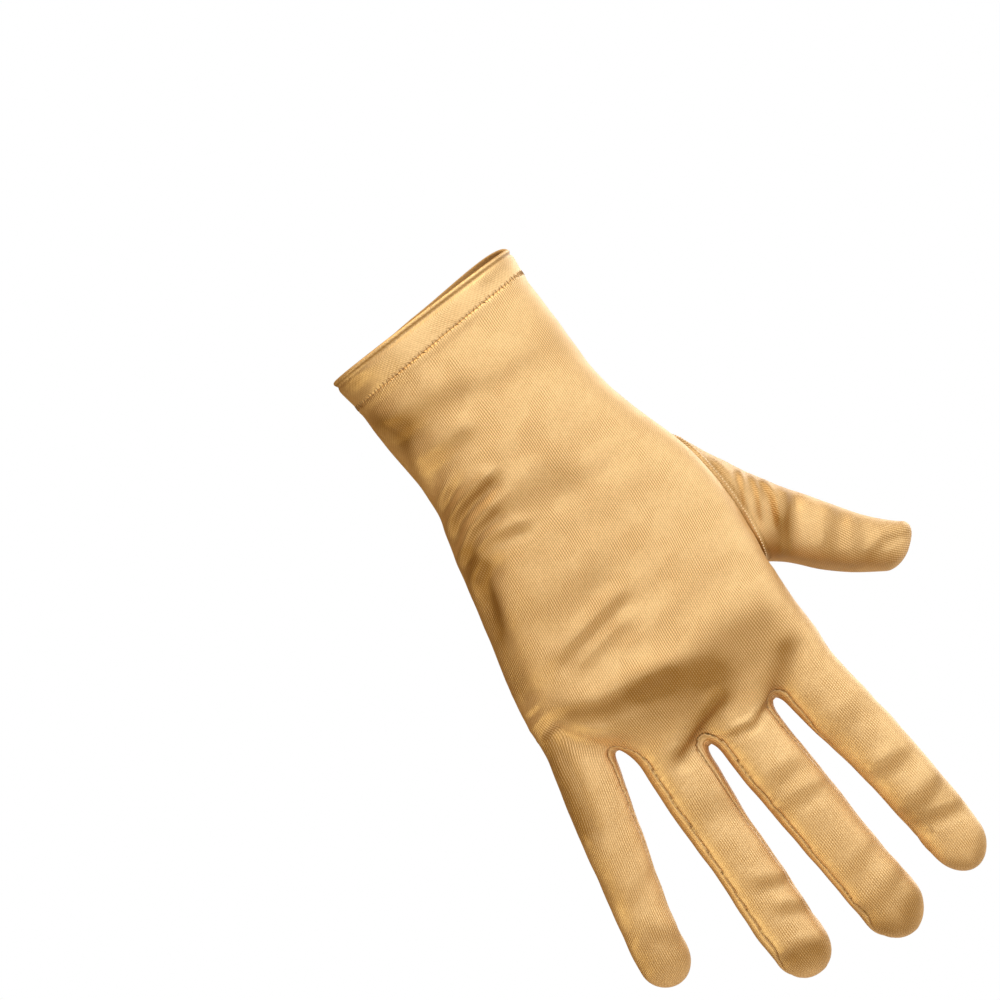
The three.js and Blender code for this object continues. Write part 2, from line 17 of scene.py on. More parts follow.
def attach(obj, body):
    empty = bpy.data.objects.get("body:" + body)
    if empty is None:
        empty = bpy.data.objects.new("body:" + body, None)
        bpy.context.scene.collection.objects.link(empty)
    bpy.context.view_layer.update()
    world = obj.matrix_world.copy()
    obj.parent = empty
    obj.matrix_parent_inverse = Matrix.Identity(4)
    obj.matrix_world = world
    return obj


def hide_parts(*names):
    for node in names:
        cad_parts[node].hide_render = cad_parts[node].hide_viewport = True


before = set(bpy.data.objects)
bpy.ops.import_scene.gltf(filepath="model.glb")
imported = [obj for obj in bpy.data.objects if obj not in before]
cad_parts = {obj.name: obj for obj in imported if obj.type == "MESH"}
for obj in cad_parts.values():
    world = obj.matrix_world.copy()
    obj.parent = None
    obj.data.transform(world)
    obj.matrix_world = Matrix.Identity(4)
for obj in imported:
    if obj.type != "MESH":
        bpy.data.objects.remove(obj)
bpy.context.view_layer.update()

MM = 0.001

# Cloth and sewing
WALL = 0.8
HEM_WALL = 1.5
GRAIN = 1.0  # spacing of the mesh points on the hand
STEP = 0.5  # spacing of the sections that are read from the tables
EVENED = 3.0  # over how far the lengths in the tables are evened out
THUMB_EVENED = 2.0
ARC_STEPS = 14  # how many points measure the length round a section
MARGIN = 12.0  # how far a limb's sections go on beyond its table and its tip
SEAM_DIP = 0.12  # how far a seam lies below the cloth beside it
SEAM_SWELL = 0.18  # how far the cloth swells beside a seam
RIB_PITCH = 0.66
RIB_LEAVES = 26.0  # how far above a crotch the hand's rib begins to turn into the finger's
RIB_JOINS = 12.0  # how far above a crotch the two match
RIB_SLANT = 0.3  # how far the rib turns round the thumb along its length
BEAD_PITCH = 0.8  # how closely the rib is broken up along its length
STITCH_PITCH = 1.9
HEM_DEPTH = 9.1
HEM_SLANT = 1.1  # how much the hem is deeper at the little finger, and less deep at the thumb
HEM_FAINT = 0.5  # added to the distance from the hem's seam, which shows less than the others
HEM_THREAD = 0.99  # how far down the hem its thread runs, as a share
RIM_LINE = 1.3  # how far below the rim the roll of the hem is drawn in
RIM_RISE = 4.4  # how far the rim on the palm stands above the rim on the back, at the thumb's edge
CUFF_HALF = 30.0
RIM_HALF = 31.0
PIPING = 1.15  # how far the roll of cloth at the thumb stands off the hand
CREASE_STRENGTH = 1.25  # how high the creases stand, as a share of the heights below
CREASE_FADE = 2.0  # how much further than its half width a crease runs on past its ends
DARKEST = 0.9  # the most shade that is painted into the satin in folds and creases
WAVES = 14  # how many waves make the cloth's soft unevenness
HAND_RIPPLE = (5, 0.4)  # seed and height
THUMB_RIPPLE = (8, 0.35)
SQUARENESS = 2.3  # of a section: 2 is an ellipse, more is nearer to a box
HAND_SQUARENESS = 2.7
BEND = 4.0  # how far each fingertip bends towards the palm

# The hand: down, little finger edge, thumb edge, depth of the back, depth of the palm
HAND_ROWS = [
    (-8, -33.0, 31.3, 20.6, 22.4),
    (0, -33.0, 31.2, 20.6, 22.3),
    (6, -32.3, 30.4, 20.4, 21.9),
    (10, -31.7, 30.1, 20.2, 21.6),
    (18, -31.8, 29.8, 20.0, 21.2),
    (26, -31.8, 30.0, 19.6, 20.8),
    (35, -31.0, 29.7, 19.4, 20.6),
    (44, -31.1, 29.6, 19.0, 20.4),
    (50, -31.8, 30.2, 18.6, 20.0),
    (55, -33.7, 31.5, 18.1, 19.6),
    (59, -35.0, 32.4, 17.6, 19.3),
    (67, -37.0, 35.1, 16.9, 18.9),
    (75, -38.9, 37.3, 16.2, 18.5),
    (84, -41.5, 38.4, 15.5, 18.1),
    (93, -43.9, 38.8, 14.9, 17.5),
    (102, -46.4, 38.3, 14.5, 16.6),
    (110, -48.1, 37.1, 14.1, 15.7),
    (117, -48.8, 35.9, 13.8, 14.9),
    (124, -49.4, 35.2, 13.3, 14.0),
    (131, -48.6, 34.4, 12.4, 12.7),
    (138, -48.5, 33.8, 11.2, 11.4),
    (144, -47.5, 33.4, 10.0, 10.2),
    (152, -46.5, 33.0, 9.0, 9.2),
]

# The fingers: down, little finger edge, thumb edge, half the depth
INDEX_ROWS = [
    (124, 16.0, 32.0, 6.7),
    (136, 15.4, 33.6, 7.6),
    (146, 14.9, 34.1, 8.2),
    (154, 15.2, 34.8, 8.4),
    (162, 15.9, 35.9, 8.2),
    (171, 17.6, 36.6, 7.9),
    (180, 19.1, 37.2, 7.6),
    (190, 20.3, 37.9, 7.3),
    (200, 21.1, 38.5, 7.0),
    (209, 21.6, 38.7, 6.7),
    (216, 22.1, 38.5, 6.3),
]
MIDDLE_ROWS = [
    (124, -6.4, 9.0, 6.8),
    (135, -7.6, 10.4, 7.7),
    (145, -8.3, 11.2, 8.4),
    (153, -8.4, 11.0, 8.7),
    (162, -8.7, 11.3, 8.5),
    (172, -8.2, 11.4, 8.1),
    (182, -7.5, 11.7, 7.9),
    (192, -6.8, 11.7, 7.6),
    (202, -6.5, 11.9, 7.3),
    (211, -6.1, 12.6, 6.9),
    (219, -5.5, 13.3, 6.5),
]
RING_ROWS = [
    (120, -28.2, -13.4, 6.3),
    (130, -29.0, -12.4, 7.3),
    (139, -29.6, -11.4, 7.9),
    (147, -30.2, -11.3, 8.2),
    (155, -30.9, -11.4, 8.0),
    (164, -31.3, -12.7, 7.6),
    (174, -31.5, -13.9, 7.4),
    (185, -31.9, -14.5, 7.2),
    (196, -32.9, -15.2, 6.8),
    (206, -33.4, -15.9, 6.5),
    (214, -33.0, -16.2, 6.1),
]
LITTLE_ROWS = [
    (108, -41.5, -36.0, 4.0),
    (114, -45.8, -34.2, 5.4),
    (119, -48.7, -33.4, 6.2),
    (129, -51.0, -33.3, 7.0),
    (137, -53.4, -33.9, 7.4),
    (145, -55.5, -36.5, 7.2),
    (154, -58.3, -39.8, 7.0),
    (163, -60.1, -42.8, 6.7),
    (172, -62.3, -45.7, 6.5),
    (181, -64.5, -48.6, 6.3),
    (188, -66.1, -50.3, 6.0),
    (193, -66.7, -50.8, 5.7),
]
# name, rows, where its round end starts and ends, where its crotch lies
FINGERS = [
    ("index", INDEX_ROWS, 214.5, 225.2, 151.0),
    ("middle", MIDDLE_ROWS, 217.5, 229.0, 149.0),
    ("ring", RING_ROWS, 212.5, 222.0, 142.0),
    ("little", LITTLE_ROWS, 190.5, 199.6, 136.0),
]
CROTCH_ROUNDING = 1.2  # over how far two fingers run into each other
KNUCKLE_ROUNDING = 9.0  # over how far the fingers run into the hand

# The hand's own end, hidden between the crotches: where its rounding starts and ends, and from
# which x, over what breadth and how far it rises towards the little finger
HAND_CAP = (140.5, 150.5)
END_FROM = 31.0
END_BREADTH = 75.5
END_RISE = 31.0

# The strip between two fingers, on the side of each: half its breadth at the crotch and further
# down, where it has narrowed to that, and where it runs out
STRIP_POINT = 5.0  # how long the point is that a strip ends in
STRIP_TOP = 16.0  # how far above its crotch a strip may start
STRIPS = {
    ("index", "middle"): ((5.5, 1.4, 184.0, 211.0), (5.0, 1.4, 188.0, 215.0)),
    ("middle", "ring"): ((6.1, 4.3, 216.0, 222.0), (6.2, 1.8, 200.0, 209.0)),
    ("ring", "little"): ((6.1, 4.7, 207.0, 214.0), (4.5, 1.4, 178.0, 190.0)),
}

# The thumb: its centre (x, down, y), the slant of its section in degrees, half breadth, half depth
THUMB_ROWS = [
    (20.0, 86.0, 3.3, 0, 21.0, 7.6),
    (29.5, 88.0, 6.3, 3, 23.0, 9.2),
    (34.8, 94.7, 8.7, 9, 20.5, 9.8),
    (38.5, 100.8, 9.9, 14, 16.7, 9.8),
    (42.1, 106.4, 10.6, 22, 13.4, 9.4),
    (45.9, 111.8, 11.0, 33, 11.2, 8.9),
    (50.0, 117.2, 11.5, 43, 10.2, 8.5),
    (54.0, 122.7, 11.9, 48, 9.7, 8.3),
    (57.8, 127.5, 12.4, 51, 9.0, 8.0),
    (61.4, 131.5, 12.9, 52, 8.4, 7.7),
    (65.0, 134.7, 13.5, 52, 7.9, 7.3),
    (68.1, 137.0, 13.9, 51, 7.5, 6.9),
]
THUMB_TIP = (72.6, 139.3, 14.5)
THUMB_RINGS = 120
THUMB_SIDES = 104

# Creases on the backs of hand and fingers: a path of (x, down), half width and height. The cloth
# falls away towards the side that lies below a path drawn from left to right. The size of each
# row also sets how much shade is painted into the satin's colour along it.
CREASES = [
    ([(-34, 5), (-27, 3.5)], 2.2, 0.45),
    ([(21, 4), (29, 3)], 1.5, 0.22),
    ([(-31, 12), (-27.5, 20), (-28, 28), (-31, 36)], 2.2, 0.28),
    ([(-32, 22.5), (-25, 22.5)], 3.6, 0.7),
    ([(-24, 22), (-14, 22.5), (-6, 24)], 3.4, 0.28),
    ([(4, 28), (26, 30)], 3.4, 0.16),
    ([(-24, 35.5), (-13, 35)], 2.6, 0.36),
    ([(-31, 48.5), (-25.5, 45.5)], 1.4, 0.6),
    ([(-35, 57.5), (-29, 53), (-23, 51.2), (-15, 50.3)], 1.7, 0.85),
    ([(-37.5, 66.5), (-32, 62), (-26, 59), (-19, 58)], 1.5, 0.7),
    ([(-31, 64), (-24, 63.8), (-16, 66)], 1.6, 0.42),
    ([(-14, 60), (2, 62)], 4.0, 0.2),
    ([(-31, 69), (-35.5, 71.5), (-38.5, 78)], 2.6, -0.85),
    ([(-38.5, 76), (-41.5, 90), (-45, 103)], 2.6, -0.75),
    ([(-28, 103.5), (-15, 101.5), (-6, 100.2)], 1.8, 0.38),
    ([(-24, 108.5), (-10, 107)], 2.0, 0.2),
    ([(-30, 88), (-8, 90)], 4.0, 0.16),
    ([(-36, 118), (-28, 122), (-18, 123.5), (-8, 125.5)], 3.0, 0.7),
    ([(-14, 127), (-5, 130), (3, 133)], 4.2, 0.6),
    ([(2, 128), (14, 127.5), (24, 129)], 4.4, 0.42),
    ([(4, 137), (14, 136.5), (23, 137)], 4.2, 0.36),
    ([(-26, 130), (-17, 134), (-6, 138)], 4.4, 0.42),
    ([(-18, 145.8), (-12, 144.3), (-6, 142.6), (0, 141.3)], 2.0, 0.8),
    ([(-2, 150.6), (4, 151.8), (9.5, 149.6)], 1.1, 0.5),
    ([(13, 148), (18, 145), (24.5, 141)], 2.7, 0.62),
    ([(-51, 111.5), (-45, 110.5)], 0.8, 0.25),
    ([(-51, 115.5), (-45, 114.5)], 0.7, 0.2),
    ([(-51, 119.5), (-44, 118.5)], 0.8, 0.25),
    ([(-47, 120), (-48.5, 132), (-53, 147)], 2.2, -0.6),
    ([(-25, 163), (-17, 164)], 3.2, 0.2),
    ([(-22, 190.5), (-17, 193)], 1.9, 0.42),
    ([(-21, 200.5), (-16.5, 203)], 1.9, 0.45),
    ([(-30, 211), (-25, 211.5), (-21, 213.5)], 1.8, 0.3),
    ([(-2, 169), (6, 169)], 2.4, 0.26),
    ([(-5, 176.5), (1, 176.8), (8, 178)], 2.0, 0.26),
    ([(1, 203), (9, 201)], 2.2, 0.2),
    ([(-6, 214), (3, 215), (12, 212)], 2.4, 0.34),
    ([(20, 168), (32, 167)], 3.4, 0.16),
    ([(25, 185), (31.5, 185.5)], 2.2, 0.36),
    ([(24, 199), (30, 199.5), (36, 198)], 2.6, 0.48),
    ([(25, 204), (31, 205.5), (37, 207)], 2.0, 0.46),
    ([(-62, 184), (-57, 182.5), (-51, 188)], 2.8, 0.3),
    ([(-56, 171), (-47, 168)], 2.0, 0.14),
]
# Where the cloth turns away from the light: shade painted into the satin's colour, without a crease
SHADE_PATCHES = [
    ([(-32, 1.5), (-28, 8)], 2.4, 0.35),
    ([(-31, 16), (-28, 24)], 3.6, 0.3),
    ([(-34.5, 69), (-38.5, 83)], 2.8, 0.85),
    ([(-50, 123), (-54, 142), (-60, 166)], 2.8, 0.32),
    ([(-28, 214.5), (-21, 217)], 3.0, 0.72),
    ([(-4, 222), (3, 226), (11, 221)], 3.6, 0.72),
    ([(24, 220), (30, 224.5), (37, 220)], 2.0, 0.55),
    ([(-62, 191), (-53, 194)], 3.6, 0.4),
]
# Folds on the palm side
PALM_FOLDS = [
    ([(-22, 62), (-6, 82), (0, 108)], 5.0, 0.9),
    ([(24, 84), (10, 100), (4, 118)], 4.5, 0.8),
    ([(-42, 104), (-24, 112), (-6, 110)], 3.2, 0.6),
    ([(-40, 120), (-18, 131), (10, 134), (30, 128)], 4.0, 0.9),
    ([(-24, 42), (0, 45), (22, 43)], 2.6, 0.7),
    ([(-22, 50), (2, 53), (24, 50)], 2.4, 0.5),
    ([(14, 62), (26, 74)], 3.4, -0.6),
    ([(-30, 26), (-8, 28)], 3.0, 0.5),
    ([(-4, 180), (10, 180)], 2.2, 0.5),
    ([(-30, 176), (-16, 176)], 2.2, 0.5),
    ([(20, 180), (36, 180)], 2.2, 0.5),
    ([(-60, 170), (-46, 166)], 2.0, 0.45),
    ([(-4, 203), (11, 203)], 2.0, 0.4),
    ([(-31, 199), (-17, 199)], 2.0, 0.4),
    ([(22, 202), (37, 202)], 2.0, 0.4),
]
# Creases that fan out from the thumb's seam, as on the back of the hand, with shade painted along them
THUMB_CREASES = [
    ([(46, 90), (43, 95.5), (40.5, 100)], 0.8, 0.36),
    ([(47.2, 95), (45.6, 99.5), (42.5, 105)], 0.8, 0.38),
    ([(48.6, 99), (47.8, 104), (45.2, 109.5)], 1.0, 0.45),
    ([(41, 86), (41, 95)], 1.0, 0.25),
    ([(39, 113.5), (43, 112.5)], 2.4, 0.3),
    ([(43.5, 116.5), (47, 112.5), (52.5, 106.5)], 1.8, 0.6),
    ([(54, 124), (57.5, 120.5), (60.5, 118.5)], 2.2, 0.36),
    ([(60, 130), (62.5, 126)], 1.8, 0.25),
    ([(62, 134), (67, 133.2), (73, 135.5)], 1.4, 0.24),
    ([(37, 116.5), (45, 124.5), (55, 133.5), (64, 140)], 3.0, 0.45),
]


def spread_over(values, sigma):
    """Values that lie STEP apart, evened out over sigma millimetres."""
    reach = int(3 * sigma / STEP) + 1
    kernel = np.exp(-0.5 * (np.arange(-reach, reach + 1) * STEP / sigma) ** 2)
    padded = np.pad(values, reach, mode="reflect", reflect_type="odd")
    return np.convolve(padded, kernel / kernel.sum(), mode="valid")


def path_length(spots):
    """How far along a path each of its points lies."""
    return np.concatenate([[0], np.cumsum(np.linalg.norm(np.diff(spots, axis=0), axis=1))])


def circle(sides):
    """Cosines and sines of points round a circle."""
    angle = np.linspace(0, 2 * math.pi, sides, endpoint=False)
    return np.cos(angle), np.sin(angle)


def boxed(share, squareness):
    """Turns a circle's cosine or sine into that of a rounded box."""
    return np.sign(share) * np.abs(share) ** (2 / squareness)


def smooth_step(share):
    """Rises smoothly from 0 to 1 as share does."""
    share = np.clip(share, 0, 1)
    return share * share * (3 - 2 * share)


def bell(away, half_width):
    """1 where away is 0, falling to 0 on both sides."""
    return np.exp(-((away / half_width) ** 2))


class Limb:
    """The hand or a finger: level sections, read smoothly from a table, with a round end."""

    def __init__(self, rows, cap_start, cap_end, root=None, squareness=SQUARENESS):
        self.squareness = squareness
        table = np.array([row if len(row) == 5 else (*row, row[3]) for row in rows], float)
        self.down = np.arange(table[0, 0] - MARGIN, cap_end + MARGIN, STEP)
        columns = [np.interp(self.down, table[:, 0], table[:, k]) for k in range(1, 5)]
        little, thumb, back, palm = (spread_over(column, EVENED) for column in columns)
        bend = np.zeros_like(self.down)
        if root is not None:
            bend = BEND * np.clip((self.down - root) / (cap_end - root), 0, 1.2) ** 2
        self.columns = [(little + thumb) / 2, (thumb - little) / 2, back, palm, bend]
        self.cap = cap_end - cap_start
        self.cap_end = cap_end
        self.root = root

    def section(self, down):
        """Middle, half breadth, depths of back and palm, and bend, at a distance down."""
        return [np.interp(down, self.down, column) for column in self.columns]

    def end(self, x):
        """Where the limb ends, as a distance down: the hand's end follows the crotches."""
        if self.root is not None:
            return self.cap_end
        across = np.clip((END_FROM - x) / END_BREADTH, 0, 0.96)
        return self.cap_end - END_RISE * across**4

    def away(self, p):
        """About how far each point lies outside the limb; inside is negative."""
        x, y, down = p[..., 0], p[..., 1], -p[..., 2]
        middle, half, back, palm, bend = self.section(down)
        depth = np.where(y < bend, back, palm)
        across = np.abs(x - middle) / half
        rise = np.abs(y - bend) / depth
        flat = (across**self.squareness + rise**self.squareness) ** (1 / self.squareness) + 1e-6
        over = np.maximum(down - self.end(x) + self.cap, 0) / self.cap
        whole = np.sqrt(flat**2 + over**2)
        power = self.squareness - 1
        slope_x = (across / flat) ** power / half
        slope_y = (rise / flat) ** power / depth
        slope = np.hypot(np.hypot(slope_x, slope_y) * flat / whole, over / whole / self.cap)
        return (whole - 1) / np.maximum(slope, 1e-3)

    def arc(self, p):
        """How far round the section a point lies from the middle of its face, with x's sign."""
        x, y, down = p[..., 0], p[..., 1], -p[..., 2]
        middle, half, back, palm, bend = self.section(down)
        depth = np.where(y < bend, back, palm)
        power = self.squareness / 2
        across = (np.abs(x - middle) / half) ** power
        rise = (np.abs(y - bend) / depth) ** power
        length = self.round_length(half, depth, np.arctan2(rise, across))
        to_match = self.round_length(half, back, 0.0) / self.round_length(half, palm, 0.0)
        return np.sign(x - middle) * np.where(y < bend, length, length * to_match)

    def round_length(self, half, depth, angle):
        """The length round a section from the middle of its face, as far as an angle."""
        power = 2 / self.squareness
        turn = math.pi / 2 + (angle - math.pi / 2) * np.linspace(0, 1, ARC_STEPS)[:, None]
        across = half * np.abs(np.cos(turn)) ** power
        rise = depth * np.sin(turn) ** power
        return np.hypot(np.diff(across, axis=0), np.diff(rise, axis=0)).sum(0)


def melt(a, b, reach):
    """The smaller of two distances, with the crease between them rounded over reach."""
    near = np.maximum(reach - np.abs(a - b), 0) / reach
    return np.minimum(a, b) - near**3 * reach / 6


HAND = Limb(HAND_ROWS, *HAND_CAP, squareness=HAND_SQUARENESS)
LIMBS = {name: Limb(rows, start, end, root) for name, rows, start, end, root in FINGERS}


def hand_away(p):
    """About how far each point lies outside hand and fingers together; inside is negative."""
    fingers = None
    for limb in LIMBS.values():
        one = np.maximum(limb.away(p), limb.down[0] + MARGIN + p[..., 2])
        fingers = one if fingers is None else melt(fingers, one, CROTCH_ROUNDING)
    return melt(HAND.away(p), fingers, KNUCKLE_ROUNDING)


def slopes(away, p, step=0.05):
    """The unit direction out of the cloth at each point."""
    out = np.empty_like(p)
    for axis in range(3):
        shift = np.zeros(3)
        shift[axis] = step
        out[:, axis] = away(p + shift) - away(p - shift)
    return out / np.maximum(np.linalg.norm(out, axis=1, keepdims=True), 1e-9)


def skin(away, low, high, grain):
    """A mesh of even quads over the surface where away is 0."""
    axes = [np.arange(a, b + grain, grain) for a, b in zip(low, high)]
    shape = [len(axis) for axis in axes]
    inside = np.empty(shape, bool)
    for i, x in enumerate(axes[0]):
        layer = np.stack(np.meshgrid([x], axes[1], axes[2], indexing="ij"), -1)[0]
        inside[i] = away(layer) < 0
    corners = [
        inside[a : shape[0] - 1 + a, b : shape[1] - 1 + b, c : shape[2] - 1 + c]
        for a in (0, 1)
        for b in (0, 1)
        for c in (0, 1)
    ]
    crossed = np.any(corners, axis=0) & ~np.all(corners, axis=0)
    number = np.full(crossed.shape, -1)
    number[crossed] = np.arange(crossed.sum())
    points = (np.argwhere(crossed) + 0.5) * grain + np.array([axis[0] for axis in axes])
    quads = []
    for axis in range(3):
        order = (axis, (axis + 1) % 3, (axis + 2) % 3)
        flags = np.transpose(inside, order)
        cells = np.transpose(number, order)
        edge = flags[:-1, 1:-1, 1:-1] != flags[1:, 1:-1, 1:-1]
        i, j, k = np.nonzero(edge)
        ring = np.stack([cells[i, j, k], cells[i, j + 1, k], cells[i, j + 1, k + 1], cells[i, j, k + 1]], 1)
        out = flags[:-1, 1:-1, 1:-1][edge]
        quads.append(np.where(out[:, None], ring, ring[:, ::-1]))
    return even_out(points, np.concatenate(quads), away)


def even_out(points, quads, away, rounds=9):
    """Moves each point towards the middle of its neighbours, and back onto the surface."""
    following = np.roll(quads, -1, 1)
    ends = np.concatenate([quads, following]).ravel()
    others = np.concatenate([following, quads]).ravel()
    count = np.bincount(ends, minlength=len(points))[:, None]
    for k in range(rounds):
        total = [np.bincount(ends, points[others, axis], len(points)) for axis in range(3)]
        points = points + 0.6 * (np.transpose(total) / count - points)
        for _ in range(1 if k < rounds - 1 else 3):
            points = points - slopes(away, points) * away(points)[:, None]
    return points, quads


def snap_to_line(points, value, grain, near=0.3):
    """Moves the points that lie almost on the line value = 0 onto it."""
    for _ in range(3):
        now = value(points)
        close = np.abs(now) < near * grain
        spots = points[close]
        way = slopes(value, spots, 0.02)
        points[close] = spots - way * now[close][:, None]
    return points


def cut(points, faces, value, grain):
    """Splits the faces along value = 0. Returns points, faces where it is positive, and the rest."""
    points = snap_to_line(points.copy(), value, grain)
    level = value(points)
    level[np.abs(level) < 0.03 * grain] = 0
    points, level = list(points), list(level)
    middle = {}
    kept, dropped = [], []

    def between(a, b):
        """The point where the line crosses an edge, made once for the faces on both sides."""
        key = frozenset((a, b))
        if key not in middle:
            share = level[a] / (level[a] - level[b])
            middle[key] = len(points)
            points.append(points[a] + (points[b] - points[a]) * share)
            level.append(0.0)
        return middle[key]

    for face in map(tuple, faces):
        levels = [level[spot] for spot in face]
        if min(levels) >= 0:
            kept.append(face)
        elif max(levels) <= 0:
            dropped.append(face)
        else:
            spots = []
            for start, end in zip(face, face[1:] + face[:1]):
                spots.append(start)
                if level[start] * level[end] < 0:
                    spots.append(between(start, end))
            for side, sign in ((kept, 1), (dropped, -1)):
                part = tuple(spot for spot in spots if level[spot] * sign >= 0)
                if len(part) > 2:
                    side.append(part)
    return np.array(points), kept, dropped


def hem_end(x):
    """The hem's row of thread, as a distance down: it lies a little lower at the little finger."""
    return HEM_DEPTH - HEM_SLANT * np.clip(x / CUFF_HALF, -1, 1)


def strip_half(root, sizes, down):
    """Half the breadth of a strip on one finger's side: it narrows, then runs out to a point."""
    wide, narrow, narrowed, end = sizes
    run = smooth_step((down - root) / (narrowed - root))
    return wide + (narrow - wide) * run - 0.5 * np.maximum(down - end + STRIP_POINT, 0)


def strip_value(thumb_side, little_side):
    """A function that is negative on the strip between two fingers."""
    first, second = LIMBS[thumb_side], LIMBS[little_side]
    first_sizes, second_sizes = STRIPS[thumb_side, little_side]

    def value(p):
        x, y, down = p[..., 0], p[..., 1], -p[..., 2]
        one, two = first.section(down), second.section(down)
        share = np.clip((one[0] - x) / (one[0] - two[0]), 0, 1)
        share = np.clip(0.5 + 3 * (share - 0.5), 0, 1)
        half = strip_half(first.root, first_sizes, down) * (1 - share)
        half += strip_half(second.root, second_sizes, down) * share
        bend = one[4] * (1 - share) + two[4] * share
        beyond = np.maximum(two[0] - x, x - one[0])
        above = min(first.root, second.root) - STRIP_TOP - down
        return np.maximum(np.maximum(np.abs(y - bend) - half, beyond), above)

    return value


def beside_path(x, down, path):
    """How far points lie beside a path, with its sign, and how far past its ends."""
    nearest = np.full(x.shape, 1e9)
    beside = np.zeros(x.shape)
    past = np.zeros(x.shape)
    last = len(path) - 2
    for k, ((x0, d0), (x1, d1)) in enumerate(zip(path, path[1:])):
        run = np.array([x1 - x0, d1 - d0], float)
        length = math.hypot(*run)
        run /= length
        along = (x - x0) * run[0] + (down - d0) * run[1]
        off = (down - d0) * run[0] - (x - x0) * run[1]
        before, after = np.maximum(-along, 0), np.maximum(along - length, 0)
        distance = np.hypot(off, before + after)
        end = before * (k == 0) + after * (k == last)
        side = np.where(end > 0, off, np.copysign(distance, off))
        closer = distance < nearest
        nearest = np.where(closer, distance, nearest)
        beside = np.where(closer, side, beside)
        past = np.where(closer, end, past)
    return beside, past


def marks(p, table, margin=0.0):
    """For each row of a table: its size, how many half widths the points lie beside its path, and
    how much of it is left past the path's ends."""
    for path, half_width, size in table:
        beside, past = beside_path(p[:, 0], -p[:, 2], path)
        yield size, beside / half_width, bell(past, half_width + margin)


def dent_depth(p, dents):
    """How deep the cloth lies in its dents."""
    return sum(size * bell(beside, 1) * left for size, beside, left in marks(p, dents))


def crease_depth(p, creases):
    """How deep the cloth lies on the lower side of its creases; on the other side it stands up."""
    depth = sum(
        size * beside * np.exp(0.5 - 0.5 * beside**2) * left
        for size, beside, left in marks(p, creases, CREASE_FADE)
    )
    return CREASE_STRENGTH * depth


def fold_shade(p, creases):
    """How much shade is painted into the satin's colour along its creases, from 0 to DARKEST."""
    shade = sum(
        abs(size) * np.exp(-0.5 * beside**2) * left
        for size, beside, left in marks(p, creases, CREASE_FADE)
    )
    return np.clip(shade, 0, DARKEST)


def facing(ways, side, sharpness=1.4):
    """How much the cloth faces the back of the hand (side -1) or its palm (side 1), up to 1."""
    return np.clip(side * sharpness * ways[:, 1], 0, 1)


def ripple(p, seed, size):
    """Soft unevenness of cloth over a hand: a few waves in fixed directions."""
    chance = np.random.default_rng(seed)
    out = np.zeros(len(p))
    for _ in range(WAVES):
        way = chance.normal(size=3) * np.array([1.0, 0.8, 1.4])
        way /= np.linalg.norm(way)
        pitch = chance.uniform(9, 26)
        out += np.sin(2 * math.pi * (p @ way) / pitch + chance.uniform(0, 6.28)) / WAVES
    return out * size


def add_object(name, data):
    """Puts a new object into the scene."""
    made = bpy.data.objects.new(name, data)
    bpy.context.scene.collection.objects.link(made)
    return made


def make_piece(node, points, faces, rib, seam, shade, material, wall=WALL, plain=None):
    """The cloth that stands for a node: points in millimetres, where they lie on the rib, how far
    along a seam and away from it, how much shade is painted into them in the folds, and where no
    rib shows."""
    name = "glove_" + node
    used = np.unique(np.concatenate([np.asarray(face) for face in faces]))
    number = np.full(len(points), -1)
    number[used] = np.arange(len(used))
    mesh = bpy.data.meshes.new(name)
    mesh.from_pydata((points[used] * MM).tolist(), [], [[int(number[i]) for i in f] for f in faces])
    corner = np.zeros(len(mesh.loops), np.int32)
    mesh.loops.foreach_get("vertex_index", corner)
    fold = np.stack([shade, 0 * shade if plain is None else plain], 1)
    for layer, values in (("rib", rib), ("seam", seam), ("fold", fold)):
        mesh.uv_layers.new(name=layer)
        flat = np.asarray(values, np.float32)[used][corner].reshape(-1)
        mesh.uv_layers[layer].data.foreach_set("uv", flat)
    mesh.polygons.foreach_set("use_smooth", np.ones(len(mesh.polygons), bool))
    mesh.materials.append(material)
    mesh.materials.append(satin_inside)
    piece = add_object(name, mesh)
    if wall:
        solidify = piece.modifiers.new("wall", "SOLIDIFY")
        solidify.thickness = wall * MM
        solidify.offset = -1
        solidify.material_offset = 1
    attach(piece, "root")
    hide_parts(node)
    return piece


class Value:
    """A number in a shader: Python's operators on it add Math nodes."""

    def __init__(self, shader, socket):
        self.shader = shader
        self.socket = socket

    def math(self, operation, *others):
        return self.shader.node("Math", {"operation": operation}, (self, *others))

    def __add__(self, other):
        return self.math("ADD", other)

    def __mul__(self, other):
        return self.math("MULTIPLY", other)

    def __sub__(self, other):
        return self.math("SUBTRACT", other)

    def __rsub__(self, other):
        return self * -1.0 + other

    def limit(self, low, high):
        return self.math("MAXIMUM", low).math("MINIMUM", high)

    def wave(self, pitch):
        """A sine along this value, from -1 to 1."""
        return (self * (2 * math.pi / pitch)).math("SINE")

    def bell(self, sharpness):
        """1 where this value is 0, falling to 0 on both sides."""
        return (self * self * -sharpness).math("EXPONENT")


class Nodes:
    """The nodes of a material or of the world."""

    def __init__(self, tree):
        self.tree = tree

    def node(self, kind, settings, values, output=0):
        made = self.tree.nodes.new("ShaderNode" + kind)
        for key, setting in settings.items():
            setattr(made, key, setting)
        pairs = values.items() if isinstance(values, dict) else enumerate(values)
        for key, value in pairs:
            self.feed(made.inputs[key], value)
        return Value(self, made.outputs[output]) if made.outputs else None

    def feed(self, socket, value):
        if isinstance(value, Value):
            self.tree.links.new(value.socket, socket)
        else:
            socket.default_value = value


